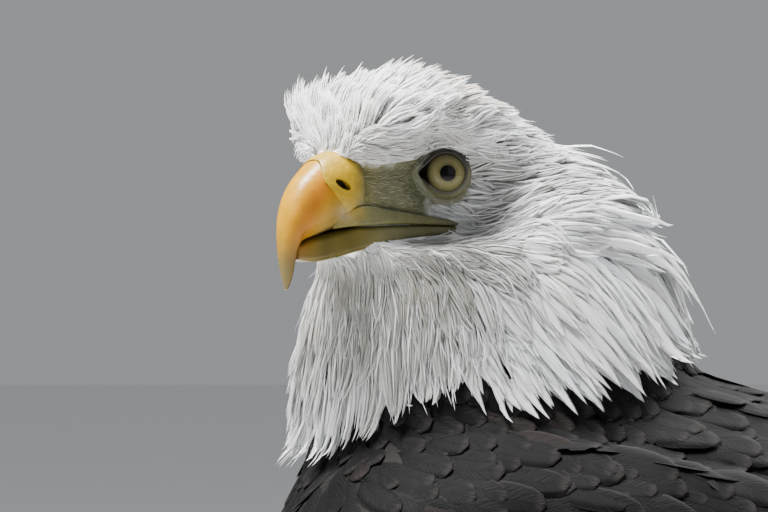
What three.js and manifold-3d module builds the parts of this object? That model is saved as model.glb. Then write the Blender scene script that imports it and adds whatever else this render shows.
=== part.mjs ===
// A bald eagle, life size, standing with its head turned to its left.
// Millimetres, +Z up. The bird faces -X, its left side is -Y, and it stands on z = 0.
// The solids give the outline of the plumage out to the tips of the feathers.

import * as THREE from 'three';
import { mergeVertices } from 'three/addons/utils/BufferGeometryUtils.js';
import Module from 'manifold-3d';

const wasm = await Module();
wasm.setup();

// ---- driving dimensions -------------------------------------------------------------------

const GAP = 0.3;                    // clearance between pieces that touch
const SNUG = 0.5;                   // clearance round pieces with sharp rims, let into others
const MERGE = 1e-4;                 // vertices closer than this are one
const FAR = 900;                    // larger than the bird, for cutting blocks

const HEAD_AT = [-134, -22, 595];   // middle of the skull, level with the eyes
const HEAD_TURN = 43;               // degrees that the head is turned to the left

const EYE_RADIUS = 11.5;
const EYE_FORWARD = 11.5;           // centre of the eyeball, ahead of the middle of the skull
const EYE_ASIDE = 17;               // and out from the head's midline

const WING_LAYER = 2.5;             // each row of wing feathers lies this far inside the last
const WING_PARTING = 0.2;           // half the space between the folded wings over the rump

const LEG_ASIDE = 58;               // the legs stand this far from the midline
const ANKLE = { ahead: 6, height: 26 };       // foot joint, behind the legs' middle by ahead
const HEEL = { ahead: 21, height: 104 };      // top of the bare shank
const CLAW_RISE = 40;               // degrees that a claw climbs where it leaves its toe
const CLAW_TIP = 0.9;               // height of a claw's tip over the floor
const CLAW_POINT = 0.5;             // radius of its point

// Toes of the left foot: direction from straight ahead and outward, reach, girth, claw.
const TOES = [
  { name: 'outer', turn: 42, reach: 60, root: 10.5, end: 7.4, clawBend: 16.5, clawRoot: 6.2 },
  { name: 'middle', turn: 4, reach: 78, root: 11, end: 7.8, clawBend: 19, clawRoot: 6.8 },
  { name: 'inner', turn: -34, reach: 50, root: 11, end: 8.2, clawBend: 22.5, clawRoot: 7.6 },
  { name: 'hallux', turn: 186, reach: 40, root: 11, end: 8.6, clawBend: 24, clawRoot: 8.2 },
];

const COLOURS = {
  white: { color: 0xe9ebee, roughness: 0.85, metalness: 0 },
  brown: { color: 0x2f2a27, roughness: 0.8, metalness: 0 },
  darker: { color: 0x25211f, roughness: 0.75, metalness: 0 },
  bill: { color: 0xe8a53a, roughness: 0.4, metalness: 0 },
  cere: { color: 0xe6c040, roughness: 0.5, metalness: 0 },
  foot: { color: 0xd9a92e, roughness: 0.6, metalness: 0 },
  claw: { color: 0x1d1b1a, roughness: 0.35, metalness: 0 },
  iris: { color: 0xd8cf9c, roughness: 0.1, metalness: 0 },
};

// ---- making, joining and cutting solids ---------------------------------------------------

// A closed manifold solid from a closed three.js geometry, faces out, and `grow` larger all
// round. Its seams are closed before `placing` moves it, while both sides still agree.
function solidOf(geometry, { placing = new THREE.Matrix4(), grow = 0 } = {}) {
  geometry.deleteAttribute('normal');
  geometry.deleteAttribute('uv');
  const merged = mergeVertices(geometry, MERGE).applyMatrix4(placing);
  const vertProperties = merged.attributes.position.array;
  const triVerts = Uint32Array.from(merged.index.array);
  const build = () => new wasm.Manifold(new wasm.Mesh({ numProp: 3, vertProperties, triVerts }));
  if (build().volume() < 0) {
    for (let i = 0; i < triVerts.length; i += 3) {
      [triVerts[i], triVerts[i + 1]] = [triVerts[i + 1], triVerts[i]];
    }
  }
  merged.setIndex(new THREE.BufferAttribute(triVerts, 1));
  merged.computeVertexNormals();
  const normals = merged.attributes.normal.array;
  for (let i = 0; i < vertProperties.length; i += 1) {
    vertProperties[i] += normals[i] * grow;
  }
  return build();
}

// A smooth reading of a table: the first number of a row is its place, the rest its values.
function reading(rows) {
  const places = rows.map((row) => row[0]);
  const width = rows[0].length - 1;
  const values = rows.flatMap((row) => row.slice(1));
  const curve = new THREE.CubicInterpolant(places, values, width, new Array(width));
  return (place) => Array.from(curve.evaluate(place));
}

// A closed tube. section(t) gives its middle, its two half axes and how square it is.
function tube(around, along, section, grow = 0) {
  const geometry = new THREE.CylinderGeometry(1, 1, 1, around, along);
  const position = geometry.attributes.position;
  for (let i = 0; i < position.count; i += 1) {
    const { middle, side, up, square = 2 } = section(0.5 - position.getY(i));
    const round = (value) => Math.sign(value) * Math.abs(value) ** (2 / square);
    const point = middle.clone();
    point.addScaledVector(side, round(position.getX(i)));
    point.addScaledVector(up, round(position.getZ(i)));
    position.setXYZ(i, point.x, point.y, point.z);
  }
  return solidOf(geometry, { grow });
}

// Evenly spread places, closer together near both ends so that blunt ends come out round.
const eased = (t) => (1 - Math.cos(Math.PI * t)) / 2;

// A body whose upright cross sections follow rows of [x, top, bottom, half width].
function hull(rows, { around = 20, along = 14, square = 2.2, grow = 0, inset = () => 0 } = {}) {
  const at = reading(rows);
  const first = rows[0][0];
  const last = rows[rows.length - 1][0];
  return tube(around, along, (t) => {
    const x = first + (last - first) * eased(t);
    const [top, bottom, half] = at(x);
    const middle = new THREE.Vector3(x, 0, (top + bottom) / 2);
    const side = new THREE.Vector3(0, Math.max(half - inset(x), 1), 0);
    const up = new THREE.Vector3(0, 0, Math.max((top - bottom) / 2 - inset(x), 1));
    return { middle, side, up, square };
  }, grow);
}

// A flat outline in the XZ plane, given thickness along Y from `from` to `to`.
function slab(outline, from, to) {
  const shape = new THREE.Shape(outline);
  const geometry = new THREE.ExtrudeGeometry(shape, { depth: to - from, bevelEnabled: false });
  geometry.rotateX(Math.PI / 2);
  geometry.translate(0, to, 0);
  return solidOf(geometry);
}

// Everything on the far side of a plane through `point`, on the side that `normal` points to.
function block(point, normal) {
  const geometry = new THREE.BoxGeometry(FAR, FAR, FAR);
  geometry.translate(0, 0, FAR / 2);
  const facing = new THREE.Vector3(...normal).normalize();
  const turn = new THREE.Quaternion().setFromUnitVectors(new THREE.Vector3(0, 0, 1), facing);
  const placing = new THREE.Matrix4().makeRotationFromQuaternion(turn).setPosition(...point);
  return solidOf(geometry, { placing });
}

const join = (...solids) => solids.reduce((all, solid) => all.add(solid));
const cut = (solid, ...tools) => tools.reduce((rest, tool) => rest.subtract(tool), solid);

// Many cuts leave crumbs: the piece itself is the largest of what is left.
function largest(solid) {
  return solid.decompose().sort((a, b) => b.volume() - a.volume())[0];
}

// ---- trunk --------------------------------------------------------------------------------

// Side outline and half width of the body, from the breast to the root of the tail.
const TRUNK = [
  [-217, 407, 395, 14],
  [-213, 433, 367, 44],
  [-203, 462, 341, 66],
  [-185, 490, 307, 86],
  [-155, 511, 272, 101],
  [-105, 525, 244, 110],
  [-45, 522, 231, 113],
  [10, 508, 225, 111],
  [60, 487, 227, 103],
  [115, 449, 238, 88],
  [170, 395, 257, 66],
  [205, 353, 273, 46],
  [222, 329, 283, 33],
];

const trunkBulk = (grow = 0) => hull(TRUNK, { around: 18, along: 13, square: 2.15, grow });

// ---- neck ---------------------------------------------------------------------------------

// Ruff of long feathers: height, middle along and across, half length, half width, and
// how far it is turned to the left with the head.
const NECK = [
  [455, -108, 0, 78, 84, 0],
  [481, -108, 0, 88, 92, 4],
  [505, -109, -2, 89, 86, 12],
  [530, -109, -5, 89, 77, 22],
  [550, -109, -8, 88, 68, 29],
  [563, -107, -8, 84, 60, 33],
  [571, -90, -5, 46, 54, 36],
  [582, -88, -3, 45, 50, 37],
  [594, -97, 0, 40, 42, 40],
  [607, -100, 0, 29, 31, 43],
];

function neckBulk() {
  const last = NECK.length - 1;
  return tube(20, last, (t) => {
    const [z, x, y, length, width, turn] = NECK[Math.round(t * last)];
    const angle = THREE.MathUtils.degToRad(turn);
    const middle = new THREE.Vector3(x, y, z);
    const side = new THREE.Vector3(Math.sin(angle), -Math.cos(angle), 0).multiplyScalar(width);
    const up = new THREE.Vector3(-Math.cos(angle), -Math.sin(angle), 0).multiplyScalar(length);
    return { middle, side, up, square: 2.1 };
  });
}

// The ruff ends in pointed feather tips, high on the nape and low on the breast.
const RUFF = { middle: -108, back: 540, front: 460, tips: 26, point: 13, reach: 170 };

function ruffRegion(drop) {
  const geometry = new THREE.CylinderGeometry(RUFF.reach, RUFF.reach, 1, RUFF.tips * 2, 1);
  const position = geometry.attributes.position;
  for (let i = 0; i < position.count; i += 1) {
    const x = position.getX(i);
    const y = position.getZ(i);
    let z = HEAD_AT[2] + FAR / 4;
    if (position.getY(i) < 0) {
      const turn = Math.atan2(y, x) / (2 * Math.PI);
      const tip = Math.abs(Math.round(turn * RUFF.tips * 2) % 2);
      const rim = (RUFF.back + RUFF.front) / 2 + ((RUFF.back - RUFF.front) / 2) * (x / RUFF.reach);
      const outward = Math.hypot(x, y) / RUFF.reach;
      z = rim - RUFF.point * tip * outward - drop;
    }
    position.setXYZ(i, RUFF.middle + x, y, z);
  }
  return solidOf(geometry);
}

// ---- head ---------------------------------------------------------------------------------
// In the head's own frame: x is forward from the middle of the skull, y to the bird's left
// and z up from the level of the eyes.

const turned = new THREE.Matrix4()
  .makeTranslation(...HEAD_AT)
  .multiply(new THREE.Matrix4().makeRotationZ(Math.PI + THREE.MathUtils.degToRad(HEAD_TURN)));

function headTube(around, along, section, grow) {
  return tube(around, along, (t) => {
    const { middle, side, up, square } = section(t);
    const direction = (vector) => vector.transformDirection(turned);
    return {
      middle: middle.applyMatrix4(turned),
      side: direction(side.clone()).multiplyScalar(side.length()),
      up: direction(up.clone()).multiplyScalar(up.length()),
      square,
    };
  }, grow);
}

// Rows of [forward, top, bottom, half width] along the head.
function headHull(rows, { around = 18, along = 11, square = 2, grow = 0 } = {}) {
  const at = reading(rows);
  const first = rows[0][0];
  const last = rows[rows.length - 1][0];
  return headTube(around, along, (t) => {
    const ahead = first + (last - first) * eased(t);
    const [top, bottom, half] = at(ahead);
    const middle = new THREE.Vector3(ahead, 0, (top + bottom) / 2);
    const side = new THREE.Vector3(0, half, 0);
    const up = new THREE.Vector3(0, 0, (top - bottom) / 2);
    return { middle, side, up, square };
  }, grow);
}

// Crown with its raised feathers; its lower edge in front is the brow over the eye.
const CROWN = [
  [-72, 8, -12, 10],
  [-62, 18, -26, 26],
  [-42, 30, -32, 38],
  [-20, 39, -24, 42],
  [0, 44, -2, 41],
  [18, 48, 7, 40],
  [34, 47, 6, 40],
  [46, 43, 4, 40],
  [54, 38, 4.5, 37],
  [60, 29, 6, 29],
  [64, 19, 8.5, 16],
  [65.5, 14, 10.5, 6],
];

// Face and cheeks, narrow at the bill and between the eyes and the bill.
const FACE = [
  [-66, 0, -34, 20],
  [-50, 12, -52, 32],
  [-30, 20, -58, 40],
  [-12, 20, -54, 41],
  [-2, 19, -49, 35],
  [8, 17, -45, 28],
  [16, 15, -41, 24.6],
  [24, 14, -39, 23.4],
  [34, 13, -36, 21.4],
  [44, 12, -35, 18.6],
  [52, 10, -34, 15.5],
  [58, 8, -32, 12.5],
];

// Bill in pairs of a point on the ridge and one on the cutting edge, with the half width.
const BILL = [
  [0, 55, 9.4, 54, -21.8, 13.6],
  [1, 60, 9.2, 58, -22.5, 12.8],
  [2, 69, 5.8, 65, -24.5, 11.4],
  [3, 77, 0.4, 71, -26.6, 10],
  [4, 83.6, -5.6, 76, -27.8, 8.6],
  [5, 88, -14, 80.4, -29.4, 7],
  [6, 90.4, -24, 82, -33.5, 5.2],
  [7, 90.2, -34, 82.6, -39, 3.8],
  [8, 88.4, -42.5, 83.4, -44, 2.5],
  [9, 86.4, -48.8, 85.2, -49, 0.9],
];

function billBulk(grow = 0) {
  const at = reading(BILL);
  return headTube(10, 11, (t) => {
    const [ridgeX, ridgeZ, edgeX, edgeZ, half] = at(t * (BILL.length - 1));
    const up = new THREE.Vector3((ridgeX - edgeX) / 2, 0, (ridgeZ - edgeZ) / 2);
    const middle = new THREE.Vector3((ridgeX + edgeX) / 2, 0, (ridgeZ + edgeZ) / 2);
    return { middle, side: new THREE.Vector3(0, half, 0), up, square: 2.3 };
  }, grow);
}

// Yellow skin along the upper edge of the mouth, back to its corner under the eye.
const MOUTH_SKIN = [
  [9.5, -21, -22.2, 25],
  [14, -20, -22.5, 27],
  [27, -17.6, -22.2, 24.2],
  [42, -14.8, -22, 19.6],
  [52, -13.4, -22.6, 16],
  [58, -13.2, -23, 13.4],
];

const LOWER_BILL = [
  [10, -22.7, -24.6, 24],
  [15, -22.9, -26, 26],
  [27, -22.6, -27.4, 23.6],
  [42, -22.4, -30, 19],
  [56, -23.4, -33.5, 13.6],
  [68, -26.4, -36.4, 9.6],
  [76, -28.4, -37.4, 6.6],
  [81, -31.2, -36.4, 2.6],
];

// The horn of the bill starts at a slanted edge; behind it lies the soft cere.
const HORN_EDGE = { point: [69, 0, 6], normal: [0.92, 0, -0.39] };

function inHead({ point, normal }, shift = 0) {
  const facing = new THREE.Vector3(...normal).normalize();
  const place = new THREE.Vector3(...point).addScaledVector(facing, shift).applyMatrix4(turned);
  return block(place.toArray(), facing.transformDirection(turned).toArray());
}

function ball(radius, forward, aside) {
  const geometry = new THREE.SphereGeometry(radius, 12, 8);
  geometry.translate(forward, aside, 0);
  return solidOf(geometry, { placing: turned });
}

// The head ends in a slanted cut from under the jaw to the back of the skull.
const HEAD_CUT = { point: [56, 0, -39], normal: [0.22, 0, 0.975] };

// ---- folded wings -------------------------------------------------------------------------

// Outer surface of both folded wings.
const WINGS = [
  [-214, 425, 391, 30],
  [-209, 447, 365, 66],
  [-196, 475, 335, 94],
  [-165, 503, 300, 117],
  [-110, 523, 273, 130],
  [-40, 521, 251, 133],
  [30, 503, 233, 128],
  [90, 473, 215, 116],
  [150, 421, 198, 99],
  [210, 353, 181, 80],
  [270, 294, 165, 64],
  [320, 248, 152, 53],
  [352, 222, 142, 47],
  [384, 196, 132, 44],
];

const WING_THICKNESS = reading([
  [-214, 10],
  [-180, 20],
  [0, 21],
  [150, 15],
  [250, 10],
  [384, 7],
]);

const wingSurface = (grow) => hull(WINGS, { around: 18, along: 11, grow });
const wingHollow = (grow) => hull(WINGS, {
  around: 12, along: 8, grow, inset: (x) => WING_THICKNESS(x)[0],
});

const points = (...pairs) => pairs.map(([x, z]) => new THREE.Vector2(x, z));

// A smooth edge through a few places.
const smooth = (places, steps) => new THREE.SplineCurve(places).getPoints(steps);

// An edge broken into `count` overlapping feather tips, which point the way it runs.
function tipped(places, count, depth) {
  const edge = new THREE.SplineCurve(places);
  const outline = [];
  for (let i = 0; i < count; i += 1) {
    outline.push(edge.getPoint(i / count));
    for (const [share, height] of [[0.62, 0.8], [0.94, 1]]) {
      const place = edge.getPoint((i + share) / count);
      const along = edge.getTangent((i + share) / count);
      outline.push(place.add(new THREE.Vector2(along.y, -along.x).multiplyScalar(depth * height)));
    }
  }
  outline.push(edge.getPoint(1));
  return outline;
}

// An outline moved outward by `reach`.
function widened(outline, reach) {
  if (reach === 0) {
    return outline;
  }
  const turn = THREE.ShapeUtils.isClockWise(outline) ? -1 : 1;
  return outline.map((place, i) => {
    const before = outline[(i + outline.length - 1) % outline.length];
    const after = outline[(i + 1) % outline.length];
    const one = place.clone().sub(before).normalize();
    const two = after.clone().sub(place).normalize();
    const normal = one.add(two).normalize();
    return place.clone().add(new THREE.Vector2(normal.y, -normal.x).multiplyScalar(turn * reach));
  });
}

// The three rows that show on a folded wing, each reaching under the one before it.
const WING_ROWS = [
  {
    name: 'coverts',
    colour: 'brown',
    outline: [
      ...smooth(points([50, 455], [-50, 482], [-110, 488], [-158, 482], [-192, 464], [-207, 435],
        [-209, 405], [-198, 375], [-172, 353]), 13),
      ...tipped(points([-166, 351], [-90, 335], [0, 315], [60, 307], [104, 323]), 6, 6),
      ...tipped(points([112, 335], [118, 375], [92, 417], [58, 449]), 3, 6),
    ],
  },
  {
    name: 'secondaries',
    colour: 'darker',
    outline: [
      ...smooth(points([100, 467], [30, 467], [-60, 435], [-130, 385], [-166, 347]), 6),
      ...tipped(points([-160, 343], [-90, 317], [0, 283], [80, 257], [140, 243]), 6, 6),
      ...tipped(points([150, 245], [205, 255], [232, 287], [215, 331], [170, 391], [120, 447]), 4, 8),
    ],
  },
  {
    name: 'primaries',
    colour: 'darker',
    outline: [
      ...smooth(points([170, 355], [80, 325], [50, 285], [110, 251], [190, 217], [270, 191],
        [346, 176]), 9),
      ...tipped(points([350, 179], [346, 199], [318, 237], [280, 281], [232, 331]), 5, 5),
    ],
  },
];

// The outline of one row, cut out from the side of the bird, `grow` wider all round.
function wingSlab(row, side, grow) {
  const near = WING_PARTING - grow;
  const [from, to] = side < 0 ? [-FAR / 4, -near] : [near, FAR / 4];
  return slab(widened(row.outline, grow), from, to);
}

// One row of feathers of one wing, up to the edges of the rows that lie over it.
function wingRow(index, side) {
  const above = WING_ROWS.slice(0, index).map((row) => wingSlab(row, side, GAP));
  const shell = wingSlab(WING_ROWS[index], side, 0).intersect(wingSurface(-WING_LAYER * index));
  return cut(shell, wingHollow(0), ...above);
}

// The room that a whole folded wing takes from what lies under it.
function wingRoom(side) {
  return cut(join(...WING_ROWS.map((row) => wingSlab(row, side, GAP))), wingHollow(-GAP));
}

// ---- tail ---------------------------------------------------------------------------------

// Twelve folded tail feathers as one fan: place, top, bottom and half width.
const TAIL = [
  [222.3, 324, 287, 28],
  [245, 302, 274, 30],
  [280, 267, 248, 32],
  [320, 228, 215, 33],
  [352, 196, 186, 36],
  [392, 156, 148, 48],
];
const TAIL_TIPS = { count: 6, step: 5, end: 386 };

// Outline of the fan's end seen from above, longest in the middle.
function tailEnd() {
  const outline = points([200, -70], [TAIL_TIPS.end - 30, -70]);
  for (let i = 0; i < TAIL_TIPS.count; i += 1) {
    const left = -52 + (104 * i) / TAIL_TIPS.count;
    const middle = left + 52 / TAIL_TIPS.count;
    const step = TAIL_TIPS.step * Math.abs(i - (TAIL_TIPS.count - 1) / 2);
    outline.push(new THREE.Vector2(TAIL_TIPS.end - step - 5, left + 1));
    outline.push(new THREE.Vector2(TAIL_TIPS.end - step, middle));
    outline.push(new THREE.Vector2(TAIL_TIPS.end - step - 5, left + 104 / TAIL_TIPS.count - 1));
  }
  outline.push(...points([TAIL_TIPS.end - 30, 70], [200, 70]));
  const geometry = new THREE.ExtrudeGeometry(new THREE.Shape(outline), {
    depth: FAR, bevelEnabled: false,
  });
  return solidOf(geometry);
}

// ---- legs ---------------------------------------------------------------------------------

// Feathered thigh: height, middle ahead, half length and half width.
const THIGH = [
  [92, 22, 14, 12],
  [106, 19, 21, 17],
  [140, 10, 33, 25],
  [180, 1, 46, 32],
  [220, -5, 57, 38],
  [262, -6, 62, 39],
  [300, -2, 50, 30],
];

function thigh(side) {
  const at = reading(THIGH);
  const low = THIGH[0][0];
  const high = THIGH[THIGH.length - 1][0];
  return tube(12, 6, (t) => {
    const z = low + (high - low) * t;
    const [x, length, width] = at(z);
    return {
      middle: new THREE.Vector3(x, side * LEG_ASIDE, z),
      side: new THREE.Vector3(0, width, 0),
      up: new THREE.Vector3(length, 0, 0),
    };
  });
}

// Bare shank and the ball of the foot: height, half length and half width.
const SHANK = [
  [-3, 13, 13],
  [6, 17, 16],
  [18, 15, 14],
  [32, 10.5, 10],
  [55, 9, 8],
  [85, 9.5, 8.5],
  [112, 9, 8],
];

function shank(side, grow) {
  const at = reading(SHANK);
  const low = SHANK[0][0];
  const high = SHANK[SHANK.length - 1][0];
  return tube(8, 6, (t) => {
    const z = low + (high - low) * t;
    const [length, width] = at(z);
    const climb = THREE.MathUtils.clamp((z - ANKLE.height) / (HEEL.height - ANKLE.height), 0, 2);
    const x = ANKLE.ahead + (HEEL.ahead - ANKLE.ahead) * climb;
    return {
      middle: new THREE.Vector3(x, side * LEG_ASIDE, z),
      side: new THREE.Vector3(0, width, 0),
      up: new THREE.Vector3(length, 0, 0),
    };
  }, grow);
}

const floor = () => block([0, 0, 0], [0, 0, -1]);

// Direction of a toe on the floor.
function heading(toe, side) {
  const angle = THREE.MathUtils.degToRad(toe.turn);
  return new THREE.Vector3(-Math.cos(angle), side * Math.sin(angle), 0);
}

// A toe runs along the floor with a flat tread under its pads.
function toeBody(toe, side, grow) {
  const ahead = heading(toe, side);
  const across = new THREE.Vector3(-ahead.y, ahead.x, 0);
  const root = new THREE.Vector3(ANKLE.ahead, side * LEG_ASIDE, 0);
  return tube(8, 5, (t) => {
    const pads = 1 + 0.07 * Math.cos(6 * Math.PI * t);
    const girth = THREE.MathUtils.lerp(toe.root, toe.end, t) * pads;
    const middle = root.clone().addScaledVector(ahead, toe.reach * t);
    middle.z = girth * 0.88 + 5 * (1 - t) ** 3;
    const up = new THREE.Vector3(0, 0, girth);
    return { middle, side: across.clone().multiplyScalar(girth), up };
  }, grow);
}

// A hooked claw: an arc that climbs from the toe and comes down to the floor.
function claw(toe, side) {
  const ahead = heading(toe, side);
  const across = new THREE.Vector3(-ahead.y, ahead.x, 0);
  const start = new THREE.Vector3(ANKLE.ahead, side * LEG_ASIDE, toe.end * 0.94);
  const rise = THREE.MathUtils.degToRad(CLAW_RISE);
  start.addScaledVector(ahead, toe.reach + GAP + (toe.clawRoot + CLAW_POINT) * Math.sin(rise));
  const fall = Math.acos(Math.cos(rise) - (start.z - CLAW_TIP) / toe.clawBend);
  return tube(6, 5, (t) => {
    const angle = rise - (rise + fall) * t;
    const run = toe.clawBend * (Math.sin(rise) - Math.sin(angle));
    const lift = toe.clawBend * (Math.cos(angle) - Math.cos(rise));
    const girth = toe.clawRoot * (1 - t) ** 0.75 + CLAW_POINT;
    const middle = start.clone().addScaledVector(ahead, run);
    middle.z += lift;
    const up = new THREE.Vector3(0, 0, Math.cos(angle)).addScaledVector(ahead, -Math.sin(angle));
    return {
      middle,
      side: across.clone().multiplyScalar(girth * 0.85),
      up: up.multiplyScalar(girth),
    };
  });
}

// ---- putting the bird together ------------------------------------------------------------

const eagle = new THREE.Group();

function place(name, solid, colour) {
  const made = largest(solid).getMesh();
  const geometry = new THREE.BufferGeometry();
  geometry.setAttribute('position', new THREE.BufferAttribute(made.vertProperties, 3));
  geometry.setIndex(new THREE.BufferAttribute(made.triVerts, 1));
  const mesh = new THREE.Mesh(geometry, new THREE.MeshStandardMaterial(COLOURS[colour]));
  mesh.name = name;
  eagle.add(mesh);
}

const SIDES = { left: -1, right: 1 };

// Bill and eyes first, as the head is cut to hold them.
const mouthSkin = (grow) => headHull(MOUTH_SKIN, { around: 12, along: 5, square: 4, grow });
const lowerBill = (grow) => headHull(LOWER_BILL, { around: 10, along: 6, square: 3, grow });
const cere = join(cut(billBulk(0), inHead(HORN_EDGE, -GAP / 2)), mouthSkin(0));
const horn = billBulk(0).intersect(inHead(HORN_EDGE, GAP / 2));
place('bill_upper', cut(horn, lowerBill(SNUG), mouthSkin(SNUG)), 'bill');
place('cere', cut(cere, lowerBill(SNUG)), 'cere');
place('bill_lower', lowerBill(0), 'bill');
place('eye_left', ball(EYE_RADIUS, EYE_FORWARD, EYE_ASIDE), 'iris');
place('eye_right', ball(EYE_RADIUS, EYE_FORWARD, -EYE_ASIDE), 'iris');

const billRoom = join(billBulk(SNUG), mouthSkin(SNUG), lowerBill(SNUG));
const eyeRoom = [1, -1].map((aside) => ball(EYE_RADIUS + GAP, EYE_FORWARD, aside * EYE_ASIDE));
const skull = join(headHull(CROWN), headHull(FACE));
const neck = neckBulk();
const head = join(skull, neck).intersect(inHead(HEAD_CUT, GAP / 2));
place('head', cut(head, billRoom, ...eyeRoom), 'white');

// The ruff and the trunk are one body, parted along the feather tips.
const body = join(trunkBulk(), neck);
const bothWings = join(wingRoom(SIDES.left), wingRoom(SIDES.right));
const ruff = cut(body.intersect(ruffRegion(0)), inHead(HEAD_CUT, -GAP / 2));
place('neck', cut(ruff, bothWings, billRoom), 'white');
place('trunk', cut(body, ruffRegion(2 * GAP), bothWings), 'brown');

for (const [word, side] of Object.entries(SIDES)) {
  WING_ROWS.forEach((row, index) => {
    place(`wing_${row.name}_${word}`, wingRow(index, side), row.colour);
  });
}

const fan = hull(TAIL, { around: 14, along: 6, square: 2.6 });
place('tail', cut(fan.intersect(tailEnd()), bothWings), 'white');

for (const [word, side] of Object.entries(SIDES)) {
  const shankRoom = shank(side, GAP);
  place(`thigh_${word}`, cut(thigh(side), trunkBulk(GAP), shankRoom, bothWings), 'brown');
  place(`shank_${word}`, cut(shank(side, 0), floor()), 'foot');
  TOES.forEach((toe, index) => {
    const before = TOES.slice(0, index).map((other) => toeBody(other, side, GAP));
    place(`toe_${toe.name}_${word}`, cut(toeBody(toe, side, 0), floor(), shankRoom, ...before),
      'foot');
    place(`claw_${toe.name}_${word}`, claw(toe, side), 'claw');
  });
}

// The origin is on the floor under the middle of the whole bird.
const extent = new THREE.Box3().setFromObject(eagle);
const middle = extent.getCenter(new THREE.Vector3());
eagle.position.set(-middle.x, -middle.y, 0);

export default eagle;
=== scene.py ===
import math

import bpy
import numpy as np
from mathutils import Matrix, Vector
from mathutils.bvhtree import BVHTree
from mathutils.kdtree import KDTree


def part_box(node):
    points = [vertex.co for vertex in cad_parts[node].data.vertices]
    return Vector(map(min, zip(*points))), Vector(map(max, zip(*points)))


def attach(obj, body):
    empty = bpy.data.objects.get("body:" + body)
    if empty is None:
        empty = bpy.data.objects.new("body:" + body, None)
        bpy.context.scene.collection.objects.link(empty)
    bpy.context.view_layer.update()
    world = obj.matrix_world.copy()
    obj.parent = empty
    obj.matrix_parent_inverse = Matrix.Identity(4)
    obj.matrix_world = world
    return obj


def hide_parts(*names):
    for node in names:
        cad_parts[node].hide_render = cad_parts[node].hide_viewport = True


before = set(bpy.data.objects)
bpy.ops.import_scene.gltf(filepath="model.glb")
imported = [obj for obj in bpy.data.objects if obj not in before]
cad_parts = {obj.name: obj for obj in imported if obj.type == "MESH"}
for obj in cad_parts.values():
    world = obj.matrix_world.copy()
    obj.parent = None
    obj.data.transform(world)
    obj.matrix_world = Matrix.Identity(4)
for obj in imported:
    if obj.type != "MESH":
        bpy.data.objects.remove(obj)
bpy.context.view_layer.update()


# ---- studio ----------------------------------------------------------------------------------
# The bird stands on a plain pale floor under three soft boxes. The camera is level with the lower
# face and sees the bird's left side, as a portrait of its head and shoulders.

def middle_of(name):
    low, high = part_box(name)
    return (low + high) / 2


# The head's own axes, from its two eyes: ahead, to the bird's left, and up.
LEFT = (middle_of("eye_left") - middle_of("eye_right")).normalized()
UP = Vector((0, 0, 1))
AHEAD = LEFT.cross(UP)
HEAD_AXES = np.array([AHEAD, LEFT, UP])
EYE_AHEAD, EYE_ASIDE = 0.0115, 0.017  # from the middle of the skull to the middle of an eye
SKULL = (middle_of("eye_left") + middle_of("eye_right")) / 2 - AHEAD * EYE_AHEAD

CAMERA_AWAY = 2.2
HEAD_NEARER = 0.03  # the head is this much nearer to the camera than the middle of the bird
VIEW_WIDTH = 0.3268  # how much the camera takes in across the bird's head
SENSOR = 36.0
pupil = middle_of("eye_left") + AHEAD * 0.0066 + LEFT * 0.0094
look_at = pupil + Vector((-0.0268, 0, -0.0349))
bpy.ops.object.camera_add(
    location=(look_at.x, -CAMERA_AWAY, look_at.z), rotation=(math.pi / 2, 0, 0)
)
camera = bpy.context.object
camera.data.sensor_width = SENSOR
camera.data.lens = SENSOR * (CAMERA_AWAY - HEAD_NEARER) / VIEW_WIDTH
bpy.context.scene.camera = camera


def linear(code):
    """An sRGB colour such as 'f0e8d8', as the linear colour that Blender works with."""
    parts = [int(code[i : i + 2], 16) / 255 for i in (0, 2, 4)]
    return tuple(c / 12.92 if c <= 0.04045 else ((c + 0.055) / 1.055) ** 2.4 for c in parts) + (1,)


def node(tree, kind, *values, **settings):
    """Adds a node and gives its outputs. Values go to its inputs in their order, and settings to
    its properties, or to inputs by name. An input takes a value or the output of a node."""
    made = tree.nodes.new("ShaderNode" + kind)
    inputs = dict(enumerate(values))
    for key, value in settings.items():
        if hasattr(made, key):
            setattr(made, key, value)
        else:
            inputs[key.replace("_", " ")] = value
    for key, value in inputs.items():
        if isinstance(value, bpy.types.NodeSocket):
            tree.links.new(value, made.inputs[key])
        else:
            made.inputs[key].default_value = value
    return made.outputs


def finish_material(name, **values):
    """A material, with plain values on its surface shader, and its node tree."""
    material = bpy.data.materials.new(name)
    material.use_nodes = True
    tree = material.node_tree
    for key, value in values.items():
        tree.nodes["Principled BSDF"].inputs[key.replace("_", " ")].default_value = value
    return material, tree


def surfaced(tree, colour, height=None, strength=0.0, depth=0.0, rough=None):
    """Gives the surface its colour, its bumps of a depth in metres, and a varying roughness."""
    sockets = tree.nodes["Principled BSDF"].inputs
    tree.links.new(colour, sockets["Base Color"])
    if rough is not None:
        tree.links.new(rough, sockets["Roughness"])
    if height is not None:
        bump = node(tree, "Bump", Height=height, Strength=strength, Distance=depth)
        tree.links.new(bump["Normal"], sockets["Normal"])


# Matt painted board: pale grey, with the faint mottling of a rolled coat of paint, in patches of
# about 11 cm.
board, tree = finish_material("matt_painted_board", Roughness=0.85)
mottling = node(tree, "TexNoise", node(tree, "TexCoord")["Object"], Scale=9)["Fac"]
surfaced(tree, node(tree, "Mix", data_type="RGBA", Factor=mottling, A=linear("eeeeee"),
                    B=linear("f4f4f3"))["Result"])
bpy.ops.mesh.primitive_plane_add(size=40, location=(0, 0, 0))
floor = bpy.context.object
floor.name = "floor"
floor.data.materials.append(board)

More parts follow.
